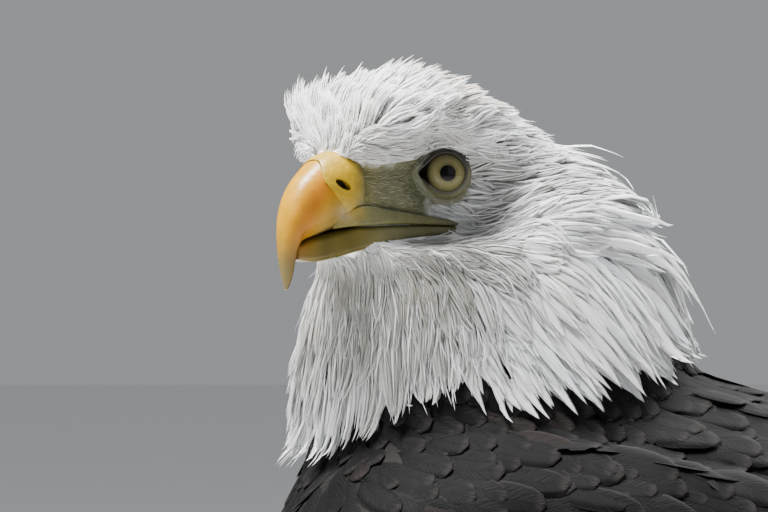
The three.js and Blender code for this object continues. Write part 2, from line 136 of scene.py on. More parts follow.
world = bpy.data.worlds.new("studio")
bpy.context.scene.world = world
world.use_nodes = True
world.node_tree.nodes["Background"].inputs["Color"].default_value = linear("dfe2e6")
world.node_tree.nodes["Background"].inputs["Strength"].default_value = 0.42
for name, place, power, size in (
    ("key_light", (-0.85, -0.2, 2.5), 420, 0.8),
    ("fill_light", (1.2, -2.0, 1.1), 9, 1.6),
    ("back_light", (0.8, 1.1, 1.9), 90, 1.0),
):
    place = Vector(place)
    facing = (place - SKULL).to_track_quat("Z", "Y").to_euler()
    bpy.ops.object.light_add(type="AREA", location=place, rotation=facing)
    light = bpy.context.object
    light.name = name
    light.data.energy = power
    light.data.size = size


# ---- skin ------------------------------------------------------------------------------------
# One skin over head, neck, trunk, wings, tail and thighs, as a taxidermist's form wears it. It
# lies inside the plumage by the depth of the feathers, bare only round the eyes and the lores.

FLESH = ["head", "neck", "trunk", "tail", "thigh_left", "thigh_right"]
FLESH += [f"wing_{row}_{side}" for row in ("coverts", "secondaries", "primaries")
          for side in ("left", "right")]
SET_IN = ["eye_left", "eye_right", "cere", "bill_lower"]
EYE_RADIUS = 0.0115
EYE_TURN = math.radians(35)  # the eyes look this far ahead of straight out
SKIN_GRID = 0.0032
# Depth of the plumage over the skin, in metres.
DEPTHS = {
    "head": 0.0062, "neck": 0.0085, "trunk": 0.0075, "tail": 0.0022, "thigh": 0.0075,
    "wing_coverts": 0.0045, "wing_secondaries": 0.003, "wing_primaries": 0.0022,
    "eye": 0.0016, "cere": 0.0012, "bill_lower": 0.0012,
}
FACE_DEPTH = 0.0016
CROWN_DEPTH = 0.003  # more than elsewhere on the head
BROW_HEIGHT = 0.0048
STUMP = 0.014  # how far the tail's skin ends short of its feathers
SOCKET_RADIUS = 0.0102
SOCKET_DEPTH = 0.0016
HAIR = 0.0004  # what copies of CAD solids grow by, so that those that touch join
WELD = 2e-6
# Where the tips of the white ruff end over the brown: how far back, and how high.
BORDER = [(-0.283, 0.464), (-0.272, 0.475), (-0.246, 0.484), (-0.226, 0.493), (-0.17, 0.5),
          (-0.14, 0.505), (-0.105, 0.519)]
NOSTRIL = (64.4, 11.4, -5.2)  # in the head's axes, in millimetres


def read(items, field, width=1, kind=np.float32):
    """One field of all items of a mesh, as an array with a row for each."""
    values = np.empty(len(items) * width, kind)
    items.foreach_get(field, values)
    return values.reshape(-1, width) if width > 1 else values


def arrays(obj):
    """Vertices, vertex normals and edges of a mesh, as arrays."""
    mesh = obj.data
    return (read(mesh.vertices, "co", 3), read(mesh.vertices, "normal", 3),
            read(mesh.edges, "vertices", 2, np.int32))


def move(obj, points):
    obj.data.vertices.foreach_set("co", points.astype(np.float32).ravel())
    obj.data.update()


def select(*objects):
    """Selects these objects and no others; the first is the active one."""
    bpy.ops.object.select_all(action="DESELECT")
    for obj in objects:
        obj.select_set(True)
    bpy.context.view_layer.objects.active = objects[0]


def edit(operator, **settings):
    """Runs an operator on the whole mesh of what is selected."""
    bpy.ops.object.mode_set(mode="EDIT")
    bpy.ops.mesh.select_all(action="SELECT")
    operator(**settings)
    bpy.ops.object.mode_set(mode="OBJECT")


def added(name, mesh):
    made = bpy.data.objects.new(name, mesh)
    bpy.context.collection.objects.link(made)
    return made


def evened(values, edges, times):
    """Values at vertices, averaged with their neighbours several times over."""
    flat = values.reshape(len(values), -1).astype(float)
    shares = np.bincount(edges.ravel(), minlength=len(flat)).clip(1)[:, None]
    for _ in range(times):
        total = np.zeros_like(flat)
        for i in range(flat.shape[1]):
            for a, b in (edges.T, edges.T[::-1]):
                total[:, i] += np.bincount(a, flat[b, i], len(flat))
        flat = 0.5 * flat + 0.5 * total / shares
    return flat.reshape(values.shape)


def head_view(points):
    """Places in the head's own axes: ahead, left and up from its middle, in millimetres."""
    return (points - np.array(SKULL)) @ HEAD_AXES.T * 1000


def ramp(values, low, high):
    """0 at low and 1 at high, with soft ends."""
    share = np.clip((values - low) / (high - low), 0, 1)
    return share * share * (3 - 2 * share)


def bell(*offsets):
    """1 where all offsets are 0, falling off softly over a reach of 1."""
    return np.exp(-sum(offset**2 for offset in offsets))


def copies(nodes):
    """One new mesh object with merged copies of these CAD nodes, each grown by a hair."""
    made = [added(name + "_copy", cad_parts[name].data.copy()) for name in nodes]
    select(*made)
    edit(bpy.ops.mesh.remove_doubles, threshold=WELD)
    for copy in made:
        points, normals, _ = arrays(copy)
        move(copy, points + normals * HAIR)
    bpy.ops.object.join()
    return bpy.context.object


def modified(obj, kind, **settings):
    """Adds a modifier and applies it."""
    bpy.context.view_layer.objects.active = obj
    modifier = obj.modifiers.new("shape", kind)
    for key, value in settings.items():
        setattr(modifier, key, value)
    bpy.ops.object.modifier_apply(modifier=modifier.name)


def store(obj, name, values, kind="FLOAT_VECTOR", field="vector"):
    """Stores a value for each vertex under a name, which a material can read."""
    layer = obj.data.attributes.new(name, kind, "POINT")
    layer.data.foreach_set(field, values.astype(np.float32).ravel())


def painted(obj, colours):
    full = np.pad(colours, ((0, 0), (0, 1)), constant_values=1)
    store(obj, "Markings", full, "FLOAT_COLOR", "color")


def marked(tree, value, *limits):
    """The painted colours, lightened and darkened as a value runs between limits."""
    paint = node(tree, "Attribute", attribute_name="Markings")["Color"]
    shade = node(tree, "MapRange", value, *limits)["Result"]
    return node(tree, "VectorMath", paint, shade, operation="MULTIPLY")["Vector"]


def blend(base, *coats):
    """Colours from a base, with coats of a colour and a share laid over it in turn. Each
    colour is an sRGB code or an array."""
    for coat, share in coats:
        low, high = (np.array(linear(c)[:3]) if isinstance(c, str) else c for c in (base, coat))
        base = low + (high - low) * np.asarray(share)[:, None]
    return base


def dressed(piece, material, slot, *nodes):
    """Gives a piece its material and the body it rides on, and hides the CAD nodes that it stands
    for. The slot is not used.
    """
    piece.data.materials.clear()
    piece.data.materials.append(material)
    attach(piece, "root")
    if nodes:
        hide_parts(*nodes)


def lore_share(seen):
    """1 on the bare skin between the bill and the eye, and round the eye; 0 elsewhere."""
    f, u = seen[:, 0], seen[:, 2]
    to_eye = np.hypot(f - 17, np.where(u > -1, (u + 1) * 1.35, (u + 1) * 1.02))
    brow = 3 + (59 - f) * 0.16
    lore = ramp(f, 21, 27) * (1 - ramp(f, 58, 64)) * ramp(u, -24, -20) * ramp(brow - u, -2, 2)
    return np.maximum(1 - ramp(to_eye, 11, 13), lore)


def above_border(places):
    return places[:, 2] - np.interp(places[:, 0], *np.array(BORDER).T)


skin = copies(FLESH + SET_IN)
skin.name = "skin"
modified(skin, "REMESH", mode="VOXEL", voxel_size=SKIN_GRID)

# Which solid each place belongs to sets the depth of the plumage there.
owners, corners, faces = [], [], []
for name in FLESH + SET_IN:
    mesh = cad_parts[name].data
    start = len(corners)
    corners += [v.co.copy() for v in mesh.vertices]
    faces += [[start + i for i in face.vertices] for face in mesh.polygons]
    owners += [name] * len(mesh.polygons)
cad_tree = BVHTree.FromPolygons(corners, faces)
points, normals, edges = arrays(skin)
owner = np.array([owners[cad_tree.find_nearest(Vector(p))[2]] for p in points])
depth = np.array([next(d for key, d in DEPTHS.items() if name.startswith(key)) for name in owner])
seen = head_view(points)
f, u = seen[:, 0], seen[:, 2]
on_head = np.isin(owner, ["head"] + SET_IN)
front = ramp(f, -12, 42) * (1 - ramp(u, 2, 14)) * on_head
depth = depth * (1 - front) + FACE_DEPTH * front
depth = depth + CROWN_DEPTH * (ramp(u, 12, 30) * on_head * (1 - ramp(f, 38, 60)))
depth = evened(depth, edges, 5)
# The thighs draw in to the shank between 13 and 9 cm over the floor, under the last feathers.
for side in (1, -1):
    cuff = (points[:, 2] < 0.13) & (np.sign(points[:, 1]) == side)
    axis = points[cuff & (points[:, 2] < 0.11)].mean(0)
    drawn = 0.75 * (1 - ramp(points[:, 2], 0.09, 0.132)) * cuff
    points[:, :2] += (axis[:2] - points[:, :2]) * drawn[:, None]
# The tail's skin ends short of the tips of its feathers.
points[:, 0] -= STUMP * ((owner == "tail") * ramp(points[:, 0], 0.19, 0.26))
# The ridge of bone over the eye, which gives the bird its frown and shades the eye.
brow = bell((u - 11.3 + 0.16 * (f - 17)) / 3.2)
brow *= ramp(f, -8, 10) * (1 - ramp(f, 44, 58)) * on_head
depth = depth - BROW_HEIGHT * brow
points = evened(points, edges, 3)
for side in (1, -1):
    # A shallow socket, so that the lids stand proud of the skin round the eye.
    aim = np.array([math.sin(EYE_TURN), side * math.cos(EYE_TURN), 0])
    from_eye = seen / 1000 - np.array([EYE_AHEAD, side * EYE_ASIDE, 0])
    ahead = from_eye @ aim
    out = np.linalg.norm(from_eye - ahead[:, None] * aim, axis=1)
    cap = np.sqrt(EYE_RADIUS**2 - np.minimum(out, SOCKET_RADIUS) ** 2) - SOCKET_DEPTH
    cap += 1.3 * np.maximum(out - 0.0105, 0)  # its rim slopes up to the face
    sink = np.maximum(ahead - cap, 0) * (out < 0.0155) * (ahead > 0)
    points = points - (aim @ HEAD_AXES) * (evened(sink, edges, 1))[:, None]
move(skin, points)
points, normals, edges = arrays(skin)
move(skin, points - normals * depth[:, None])
points, normals, edges = arrays(skin)
move(skin, evened(points, edges, 2))
points, normals, edges = arrays(skin)
select(skin)
bpy.ops.object.shade_smooth()
edit(bpy.ops.uv.smart_project, angle_limit=math.radians(70), island_margin=0.002)
skin.data.uv_layers[0].name = "Unwrap"
print("SKIN", len(skin.data.polygons), flush=True)

x, y, z = points.T
white = ramp(above_border(points), 0.022, 0.032) * (x < 0.05)
white = np.maximum(white, owner == "tail")
white = np.maximum(white, ramp(x, 0.15, 0.16) * (np.abs(y) < 0.045)
                   * (z < 0.35 - 1.04 * (x - 0.14)))
bare = lore_share(seen) * on_head
# A dark line along the mouth: painted shade in the gap between the bills.
mouth = bell((u + 22.3) / 1.3) * (f > 7) * (f < 62)
# Round the nostril the skin is painted dark, as shade in its hollow.
to_nostril = np.hypot(f - NOSTRIL[0], u - NOSTRIL[2])
painted(skin, blend(
    "12100f", ("dededc", white), ("52523c", bare), ("5e5620", bare * 0.7 * ramp(f, 44, 56)),
    ("1b1510", mouth * on_head * (np.abs(seen[:, 1]) > 9)), ("14100b", 1 - ramp(to_nostril, 4, 6)),
))

# Dry skin under the feathers, softly wrinkled and bare of gloss, dull olive on the lores. The
# wrinkles are about a millimetre and a half apart.
dried_skin, tree = finish_material("dry_feathered_skin", Roughness=0.7, Specular_IOR_Level=0.08)
own = node(tree, "TexCoord")["Object"]
wrinkle = node(tree, "TexVoronoi", own, Scale=650, feature="SMOOTH_F1")["Distance"]
cloud = node(tree, "TexNoise", own, Scale=240, Detail=4)["Fac"]
surfaced(tree, marked(tree, cloud, 0.3, 0.7, 0.7, 1.12), wrinkle, 0.5, 0.0006)
dressed(skin, dried_skin, "white_feathers", *FLESH)


# ---- bill ------------------------------------------------------------------------------------
# A hooked upper bill and a shorter lower one of layered horn, on a soft waxy cere. The horn is
# worn smooth and slips under the skin at its root; a fold of yellow skin edges the mouth.

# Pairs of a point on the ridge and one on the cutting edge, ahead and up, with half widths (mm).
BILL = [
    (55, 9.4, 54, -21.8, 13.6), (60, 9.2, 58, -22.5, 12.8), (69, 5.8, 65, -24.5, 11.4),
    (76.4, 0.2, 71, -26.6, 10), (82.2, -6.0, 76, -27.8, 8.6), (86.4, -14.4, 80, -29.4, 7),
    (88.6, -24, 81.6, -33.5, 5.2), (88.9, -34, 82.4, -39, 3.8), (87.8, -42.5, 83.2, -44, 2.5),
    (86.4, -48.8, 85.2, -49, 0.9),
]
BILL_STEPS = 72
# Rows of ahead, top, bottom and half width (mm).
MOUTH_SKIN = np.array([
    (9.5, -21, -22.2, 25), (14, -20, -22.5, 27), (27, -17.6, -22.2, 24.2),
    (42, -14.8, -22, 19.6), (52, -13.4, -22.6, 16), (57, -13.6, -22.9, 13.4),
    (62, -16.5, -23.3, 10.6), (66, -20, -23.8, 7.5),
])
LOWER_BILL = np.array([
    (10, -21.8, -24.6, 24.6), (15, -21.8, -26, 26.8), (27, -21.5, -27.4, 24.2),
    (42, -21.4, -30, 19.4), (56, -22.2, -33.5, 13.8), (68, -25.4, -36.4, 10.0),
    (76, -27.8, -37.4, 6.9), (81, -31.0, -36.4, 2.6),
])
# Where the horn comes out from under the cere: height, and how far ahead (mm).
HORN_EDGE = [(-26, 54.5), (-20, 57.5), (-13, 63.2), (-7.5, 68.6), (-3.5, 71.8), (0, 71.4),
             (6, 68.6), (12, 67)]
CERE_LAP = 0.0005
SMOOTH_BELOW = math.radians(50)
chance = np.random.default_rng(7)


def smooth_rows(rows, places, steps):
    """A smooth curve through the rows, read at eased steps: its columns, and where they are."""
    rows, places = np.array(rows, float), np.array(places, float)
    slopes = np.gradient(rows, places, axis=0)
    share = (1 - np.cos(np.linspace(0, math.pi, steps))) / 2
    at = places[0] + (places[-1] - places[0]) * share
    i = np.clip(np.searchsorted(places, at, side="right") - 1, 0, len(places) - 2)
    width = (places[i + 1] - places[i])[:, None]
    t = ((at - places[i])[:, None]) / width
    curve = (rows[i] * (1 + 2 * t) * (1 - t) ** 2 + slopes[i] * width * t * (1 - t) ** 2
             + rows[i + 1] * t * t * (3 - 2 * t) + slopes[i + 1] * width * t * t * (t - 1))
    return curve.T, at


def between_rings(rings, around, closed=False):
    """Quads from each ring of points to the next, and from the last to the first if closed."""
    return [(i * around + j, i * around + (j + 1) % around,
             (i + 1) % rings * around + (j + 1) % around, (i + 1) % rings * around + j)
            for i in range(rings if closed else rings - 1) for j in range(around)]


def solid(name, points, faces):
    """A selected new object of these points and faces, with its faces turned outwards."""
    mesh = bpy.data.meshes.new(name)
    mesh.from_pydata(points.tolist(), [], faces)
    made = added(name, mesh)
    select(made)
    edit(bpy.ops.mesh.normals_make_consistent, inside=False)
    return made


def tube(name, middles, sides, ups, square, around):
    """A closed tube of superelliptic rings, squarer as `square` goes up from 2."""
    rings = len(middles)
    angle = np.linspace(0, 2 * math.pi, around, endpoint=False)
    c, s = (np.sign(a) * np.abs(a) ** (2 / square) for a in (np.cos(angle), np.sin(angle)))
    ring = (middles[:, None] + sides[:, None] * c[None, :, None] + ups[:, None] * s[None, :, None])
    first, last = rings * around, rings * around + 1
    faces = between_rings(rings, around)
    for j in range(around):
        k = (j + 1) % around
        faces += [(first, k, j), (last, (rings - 1) * around + j, (rings - 1) * around + k)]
    return solid(name, np.concatenate([ring.reshape(-1, 3), middles[[0, -1]]]), faces)


def from_head(places):
    """Places in the head's axes, in millimetres, as places in the room."""
    return np.asarray(places) / 1000 @ HEAD_AXES + np.array(SKULL)


def lofted(name, tops, bottoms, half_widths, square):
    """A tube between a line of points on top and one below, ahead and up in millimetres."""
    middles, ups = (np.insert(line / 2, 1, 0, axis=1) for line in (tops + bottoms, tops - bottoms))
    sides = np.outer(half_widths / 1000, LEFT)
    return tube(name, from_head(middles), sides, ups / 1000 @ HEAD_AXES, square, 48)


def along_head(name, rows, steps, square):
    """A tube along the head from rows of ahead, top, bottom and half width."""
    (top, bottom, half), at = smooth_rows(rows[:, 1:], rows[:, 0], steps)
    return lofted(name, np.stack([at, top], 1), np.stack([at, bottom], 1), half, square)


def upper_bill(name, gap, horn):
    """The upper bill's horn, or all that lies behind it. The edge between them is a curve, so
    it is made straight, cut flat and bent back."""
    made = lofted(name, bill[:2].T, bill[2:4].T, bill[4], 2.3)
    for bent in (-1, 1):
        points = arrays(made)[0]
        shift = np.interp(head_view(points)[:, 2], *np.array(HORN_EDGE).T) / 1000
        move(made, points + bent * shift[:, None] * HEAD_AXES[0])
        if bent < 0:
            edit(bpy.ops.mesh.bisect, plane_co=SKULL + AHEAD * gap, plane_no=AHEAD,
                 use_fill=True, clear_inner=horn, clear_outer=not horn)
    return made


def joined(obj, tool, operation):
    modified(obj, "BOOLEAN", operation=operation, solver="EXACT", object=tool)
    bpy.data.objects.remove(tool)


bill, _ = smooth_rows(BILL, range(len(BILL)), BILL_STEPS)
horn = upper_bill("bill_horn_upper", 0.0001, True)
cere = upper_bill("bill_cere", 0.0009, False)
gape = along_head("gape", MOUTH_SKIN, 30, 7)
lower = along_head("bill_horn_lower", LOWER_BILL, 40, 5)

# The cere laps over the horn, so it is a hair fuller. The nostril is a slit in it.
points, normals, _ = arrays(cere)
move(cere, points + normals * CERE_LAP)
joined(cere, gape, "UNION")
for side in (1, -1):
    bpy.ops.mesh.primitive_uv_sphere_add(segments=20, ring_count=12, radius=0.001)
    slit = bpy.context.object
    facing = Matrix((AHEAD, LEFT, UP)).transposed().to_4x4()
    lean = Matrix.Rotation(math.radians(-28), 4, "Y")
    nose = Matrix.Translation(Vector(from_head([NOSTRIL[0], side * NOSTRIL[1], NOSTRIL[2]])))
    slit.data.transform(nose @ facing @ lean @ Matrix.Diagonal((4.2, 3.6, 1.8, 1)))
    joined(cere, slit, "DIFFERENCE")

# Keratin of the bill, formed in long layers and worn: smooth, deep orange-yellow along the
# middle of its sides, greyer towards the tip and the edges. Its fine growth lines run along it for
# about 9 mm, and are drawn 2 mm apart so that they show.
bill_keratin, tree = finish_material("bill_keratin_worn", Specular_IOR_Level=0.16,
                                     Coat_Weight=0.06, Coat_Roughness=0.2)
own = node(tree, "TexCoord")["Object"]
along_bill = node(tree, "Mapping", own, Rotation=(0, 0, math.atan2(-AHEAD.y, AHEAD.x)),
                  Scale=(110, 620, 420))["Vector"]
layers = node(tree, "TexNoise", along_bill, Scale=1, Detail=4)["Fac"]
cloud = node(tree, "TexNoise", own, Scale=160, Detail=5)["Fac"]
wear = node(tree, "MapRange", cloud, 0, 1, 0.22, 0.55)["Result"]
surfaced(tree, marked(tree, cloud, 0.3, 0.75, 0.86, 1.1), layers, 0.5, 0.0003, wear)

# Cere and gape: soft bare skin, waxy, clearer yellow than the horn, with fine creases that are
# drawn about 2 mm apart.
cere_skin, tree = finish_material("waxy_cere_skin", Roughness=0.45, Specular_IOR_Level=0.25)
crease = node(tree, "TexNoise", node(tree, "TexCoord")["Object"], Scale=420, Detail=6)["Fac"]
surfaced(tree, marked(tree, crease, 0.32, 0.72, 0.8, 1.12), crease, 0.55, 0.0005)

for piece, material, slot, stands_for in (
    (horn, bill_keratin, "bill_horn", "bill_upper"),
    (lower, bill_keratin, "bill_horn", "bill_lower"),
    (cere, cere_skin, "cere_skin", "cere"),
):
    select(piece)
    bpy.ops.object.shade_smooth_by_angle(angle=SMOOTH_BELOW)
    seen = head_view(arrays(piece)[0])
    f, u = seen[:, 0], seen[:, 2]
    if piece is cere:
        top = np.interp(f, *MOUTH_SKIN[:, [0, 1]].T)
        # In the nostril's slit the cere is painted dark, as shade in its hollow.
        slit = bell((f - NOSTRIL[0]) / 3.6, (u - NOSTRIL[2]) / 2.3) * (np.abs(seen[:, 1]) < 10.6)
        colours = blend(
            "8c7000", ("46462a", ramp(f, 62, 52)), ("43411f", ramp(u, -15, -21) * 0.7),
            ("484834", ramp(u - top, -2.4, -0.3) * ramp(f, 60, 50) * (u < top + 0.6)),
            ("1d1712", np.clip(slit * 1.6, 0, 1)),
        )
    else:
        # Yellow along the ridge, deep orange beside it, duller towards the cutting edge.
        inward = np.array([np.hypot(*(bill[:2].T - spot).T).min() for spot in seen[:, [0, 2]]])
        colours = blend(
            "957000", ("8b5400", bell((inward - 7) / 6)), ("6a531c", ramp(inward, 10, 19) * 0.75),
            ("4b472c", ramp(u, -21, -42) * 0.85),
        )
    # The lower bill is darker and duller than the upper: partly its own colour, partly painted
    # shade under the upper bill.
    if piece is lower:
        colours = blend(colours, ("433a0c", ramp(f, 86, 70)), ("4b492e", ramp(f, 60, 40)))
    elif piece is horn:
        colours = blend(colours, ("77684a", ramp(u, -17, -26) * ramp(f, 80, 62) * 0.7))
    # Old horn flakes pale beside the front of the gape.
    if piece is not lower:
        flaky = bell((f - 62.5) / 3.5, (u + 17.5) / 3.5) * chance.uniform(0.3, 0.9, len(f))
        colours = blend(colours, ("80745a", flaky))
    # The parting of the mouth is a dark line between the gape and the lower bill: painted shade in
    # the gap.
    if piece is not horn:
        under = np.interp(f, *MOUTH_SKIN[:, [0, 2]].T) - u
        over = u - np.interp(f, *LOWER_BILL[:, [0, 1]].T)
        parting = ramp(over, -0.8, -0.2) if piece is lower else ramp(under, -0.7, -0.2)
        colours = blend(colours, ("14100b", parting * (f < 62)))
    painted(piece, colours)
    dressed(piece, material, slot, stands_for)
print("BILL", flush=True)


# ---- eyes ------------------------------------------------------------------------------------
# Glass eyes as a taxidermist sets them: a pale iris and a black pupil under a clear cornea that
# bulges a little. Each is held by a thin dark lid rim, with two folds of bare skin round it.

CORNEA_BULGE = 0.0007
BALL_GAP = 0.0004  # the least space between the folds and the eyeball
RIM = 1.1  # how far the dark rim goes out from the edge of the opening, in millimetres
# Out from the edge of the opening, height over eyeball or skin (mm), and how much it is skin.
LID_RINGS = [
    (-0.6, -0.7, 0), (-0.1, 0.15, 0), (0.25, 0.5, 0), (0.7, 0.6, 0), (1.1, 0.4, 0),
    (1.5, 0.5, 0.15), (2.1, 0.8, 0.35), (2.7, 0.85, 0.6), (3.1, 0.6, 0.75),
    (3.5, 0.65, 0.9), (4.2, 0.6, 1), (5.0, 0.0, 1), (6.0, -0.9, 1), (4.6, -2.2, 1),
]
LID_STEPS = 96
# Colours of the iris from the pupil to the rim, by share of the way out.
IRIS = [(0.305, "050404"), (0.325, "3c3720"), (0.35, "4b462b"), (0.5, "5d593b"),
        (0.68, "504c31"), (0.765, "38341f"), (0.815, "211c10"), (0.84, "0d0b08")]

# The skin as a table of its four-cornered faces, with a smooth normal for each.
quads = read(skin.data.loops, "vertex_index", 1, np.int32).reshape(-1, 4)
skin_tree = BVHTree.FromPolygons(arrays(skin)[0].tolist(), quads.tolist())
face_normal = evened(arrays(skin)[1], edges, 2)[quads].sum(1)
face_normal /= np.linalg.norm(face_normal, axis=1)[:, None]


def nearest(places):
    """The closest places on the skin, its smooth normals there, and its faces."""
    found = [skin_tree.find_nearest(place) for place in places.tolist()]
    index = np.array([f[2] for f in found])
    return np.array([f[0] for f in found]), face_normal[index], index


def opening(angle):
    """Radius of the eye's opening, with a pointed corner in front (angle 0), in mm."""
    corner = np.angle(np.exp(1j * angle))
    return 8.35 + 0.35 * np.sin(angle) + 3.0 * np.exp(-np.abs(corner / 0.36) ** 1.5)


# Glass, cast and polished: a creamy iris with fine radial fibres and a darker rim, under a
# perfectly smooth and glossy surface.
eye_glass, tree = finish_material("cast_glass_eye", Roughness=0.18, Specular_IOR_Level=0.0,
                                  Coat_Weight=0.22, Coat_Roughness=0.02)
spot = node(tree, "Attribute", attribute_name="Iris")["Vector"]
rings = node(tree, "ValToRGB", node(tree, "SeparateXYZ", spot)["Z"])["Color"]
stops = rings.node.color_ramp.elements
for end, (_, code) in zip(stops, (IRIS[0], IRIS[-1])):
    end.color = linear(code)
for at, code in IRIS:
    stops.new(at).color = linear(code)
fibres = node(tree, "TexNoise", spot, Scale=3.4, Detail=6, Roughness=0.7)["Fac"]
shade = node(tree, "MapRange", fibres, 0.3, 0.7, 0.78, 1.15)["Result"]
surfaced(tree, node(tree, "VectorMath", rings, shade, operation="MULTIPLY")["Vector"])

# Lid skin: thin, black along its rim, dull olive-yellow on the folds, dry, with creases a
# millimetre and a half apart.
lid_skin, tree = finish_material("dry_lid_skin", Roughness=0.5)
crease = node(tree, "TexNoise", node(tree, "TexCoord")["Object"], Scale=700, Detail=4)["Fac"]
surfaced(tree, marked(tree, crease, 0.3, 0.7, 0.72, 1.15), crease, 0.6, 0.0004)

for word, side in (("left", 1), ("right", -1)):
    centre = np.array(middle_of("eye_" + word))
    axis = np.array(AHEAD * math.sin(EYE_TURN) + LEFT * side * math.cos(EYE_TURN))
    front = np.array(AHEAD * math.cos(EYE_TURN) - LEFT * side * math.sin(EYE_TURN))
    bpy.ops.mesh.primitive_uv_sphere_add(segments=64, ring_count=72, radius=EYE_RADIUS)
    eye = bpy.context.object
    eye.name = eye.data.name = "glass_eye_" + word
    points = arrays(eye)[0]
    flat = np.hypot(points[:, 0], points[:, 1])
    bulge = CORNEA_BULGE * (1 - ramp(flat, 0.003, 0.0088)) * (points[:, 2] > 0)
    points *= (1 + bulge / EYE_RADIUS)[:, None]
    # The iris is drawn by the direction from the axis, and a tenth of the distance in millimetres.
    iris = np.stack([points[:, 0] / flat.clip(1e-5), points[:, 1] / flat.clip(1e-5),
                     np.where(points[:, 2] > 0, flat * 100, 1)], 1)
    store(eye, "Iris", iris)
    move(eye, centre + points @ np.array([front, np.cross(axis, front), axis]))
    bpy.ops.object.shade_smooth()
    dressed(eye, eye_glass, "eye", "eye_" + word)

    angle = np.linspace(0, 2 * math.pi, LID_STEPS, endpoint=False)
    spoke = np.outer(np.cos(angle), front) + np.outer(np.sin(angle), UP)
    rings = []
    for out, height, share in LID_RINGS:
        narrow = 1 - 0.72 * np.sin(angle).clip(0) * (out > RIM)
        reach = (opening(angle) + RIM + (out - RIM) * narrow) / 1000
        on_ball = np.minimum(reach, SOCKET_RADIUS)
        lift = np.sqrt(EYE_RADIUS**2 - on_ball**2) + height / 1000
        over_ball = centre + spoke * reach[:, None] + axis * lift[:, None]
        spot, normal, _ = nearest(over_ball)
        over_skin = spot + normal * height / 1000
        ring = over_ball * (1 - share) + over_skin * share - centre
        if out > 1 and height > 0:
            ring *= np.maximum(1, (EYE_RADIUS + BALL_GAP) / np.linalg.norm(ring, axis=1))[:, None]
        rings.append(centre + ring)
    lids = solid("eyelids_" + word, np.concatenate(rings),
                 between_rings(len(rings), LID_STEPS, closed=True))
    bpy.ops.object.shade_smooth()
    out = np.repeat([ring[0] for ring in LID_RINGS], LID_STEPS)
    # Painted shade: the top of the lids is darkened as the brow's shadow, and the groove of the
    # outer fold is painted darker.
    brow_shadow = ramp(np.tile(np.sin(angle), len(rings)), 0.0, 0.5)
    painted(lids, blend(
        "0f0d0a", ("504f36", ramp(out, 0.4, 1.15)), ("3c3b28", bell((out - 3.1) / 0.4) * 0.8),
        ("52523c", ramp(out, 3.4, 4.6)), ("1e1a13", 0.85 * brow_shadow),
    ))
    dressed(lids, lid_skin, "cere_skin")
print("EYES", flush=True)


# ---- white feathers of the head and neck -----------------------------------------------------
# Thin pointed vanes of white keratin, laid from the bill backwards: minute on the face, raised in
# short spikes on the crown, long and loose on the nape, ending in a ragged edge over the brown.

UV_PATCH = 0.003  # the size of a feather's own patch of the unwrap
# Where each face of the skin lies on the unwrap.
face_unwrap = read(skin.data.uv_layers["Unwrap"].data, "uv", 2).reshape(-1, 4, 2).mean(1)
# By millimetres behind the bill: lengths, widths and spacings in millimetres, rise in degrees.
REACH = (12, 30, 48, 70, 95, 125, 165)
LENGTHS = (4.5, 7.5, 11, 15, 24, 38, 50)
WIDTHS = (0.8, 1.1, 1.6, 2.6, 5.4, 10.5, 16.0)
SPACINGS = (0.6, 0.72, 0.9, 1.2, 1.8, 3.0, 4.4)
RISES = (8, 8, 8, 8, 7, 5, 4)
# Greyer places, mostly painted shade under the brow, the bill and the jaw and on the cheek, throat
# and nape, and partly the feathers' own dusky grey: ahead and up from the middle of the head,
# reach each way (mm), and strength.
SHADE_AND_DUSK_PLACES = [(-14, -5, 24, 13, 0.7), (38, 8.5, 20, 4.5, 0.4), (22, -36, 26, 9, 0.8),
         (46, -58, 22, 20, 1.0), (46, -40, 16, 10, 0.8), (11, -17, 12, 6, 0.5),
         (-62, -14, 26, 26, 0.45), (-12, -10, 26, 20, 0.4)]
STAINS = 60
LONG_FROM = 90  # millimetres behind the bill, from where on the hackles are long
EDGE_BAND = 0.06  # the height of the band over the brown whose feathers make the ragged edge


def unit(vectors):
    return vectors / np.maximum(np.linalg.norm(vectors, axis=-1, keepdims=True), 1e-12)


def searchable(places):
    tree = KDTree(len(places))
    for i, place in enumerate(places.tolist()):
        tree.insert(place, i)
    tree.balance()
    return tree


def scattered(spacing, where, darts_thrown):
    """Places on the skin at least `spacing` apart, as far as `where` allows, found by darts."""
    points = arrays(skin)[0]
    a, b, c = points[np.concatenate([quads[:, [0, 1, 2]], quads[:, [0, 2, 3]]])].swapaxes(0, 1)
    middle = (a + b + c) / 3
    weight = np.linalg.norm(np.cross(b - a, c - a), axis=1) * where(middle) / spacing(middle) ** 2
    pick = chance.choice(len(weight), darts_thrown, p=weight / weight.sum())
    u, v = chance.random((2, darts_thrown))
    fold = u + v > 1
    u, v = np.where(fold, 1 - u, u)[:, None], np.where(fold, 1 - v, v)[:, None]
    darts = a[pick] + (b[pick] - a[pick]) * u + (c[pick] - a[pick]) * v
    reach = spacing(darts)
    tree = searchable(darts)
    free = np.ones(darts_thrown, bool)
    kept = []
    for i in range(darts_thrown):
        if free[i]:
            kept.append(i)
            free[[found[1] for found in tree.find_range(darts[i], reach[i])]] = False
    return darts[kept]


def evenly(spacing):
    return lambda places: np.full(len(places), spacing)


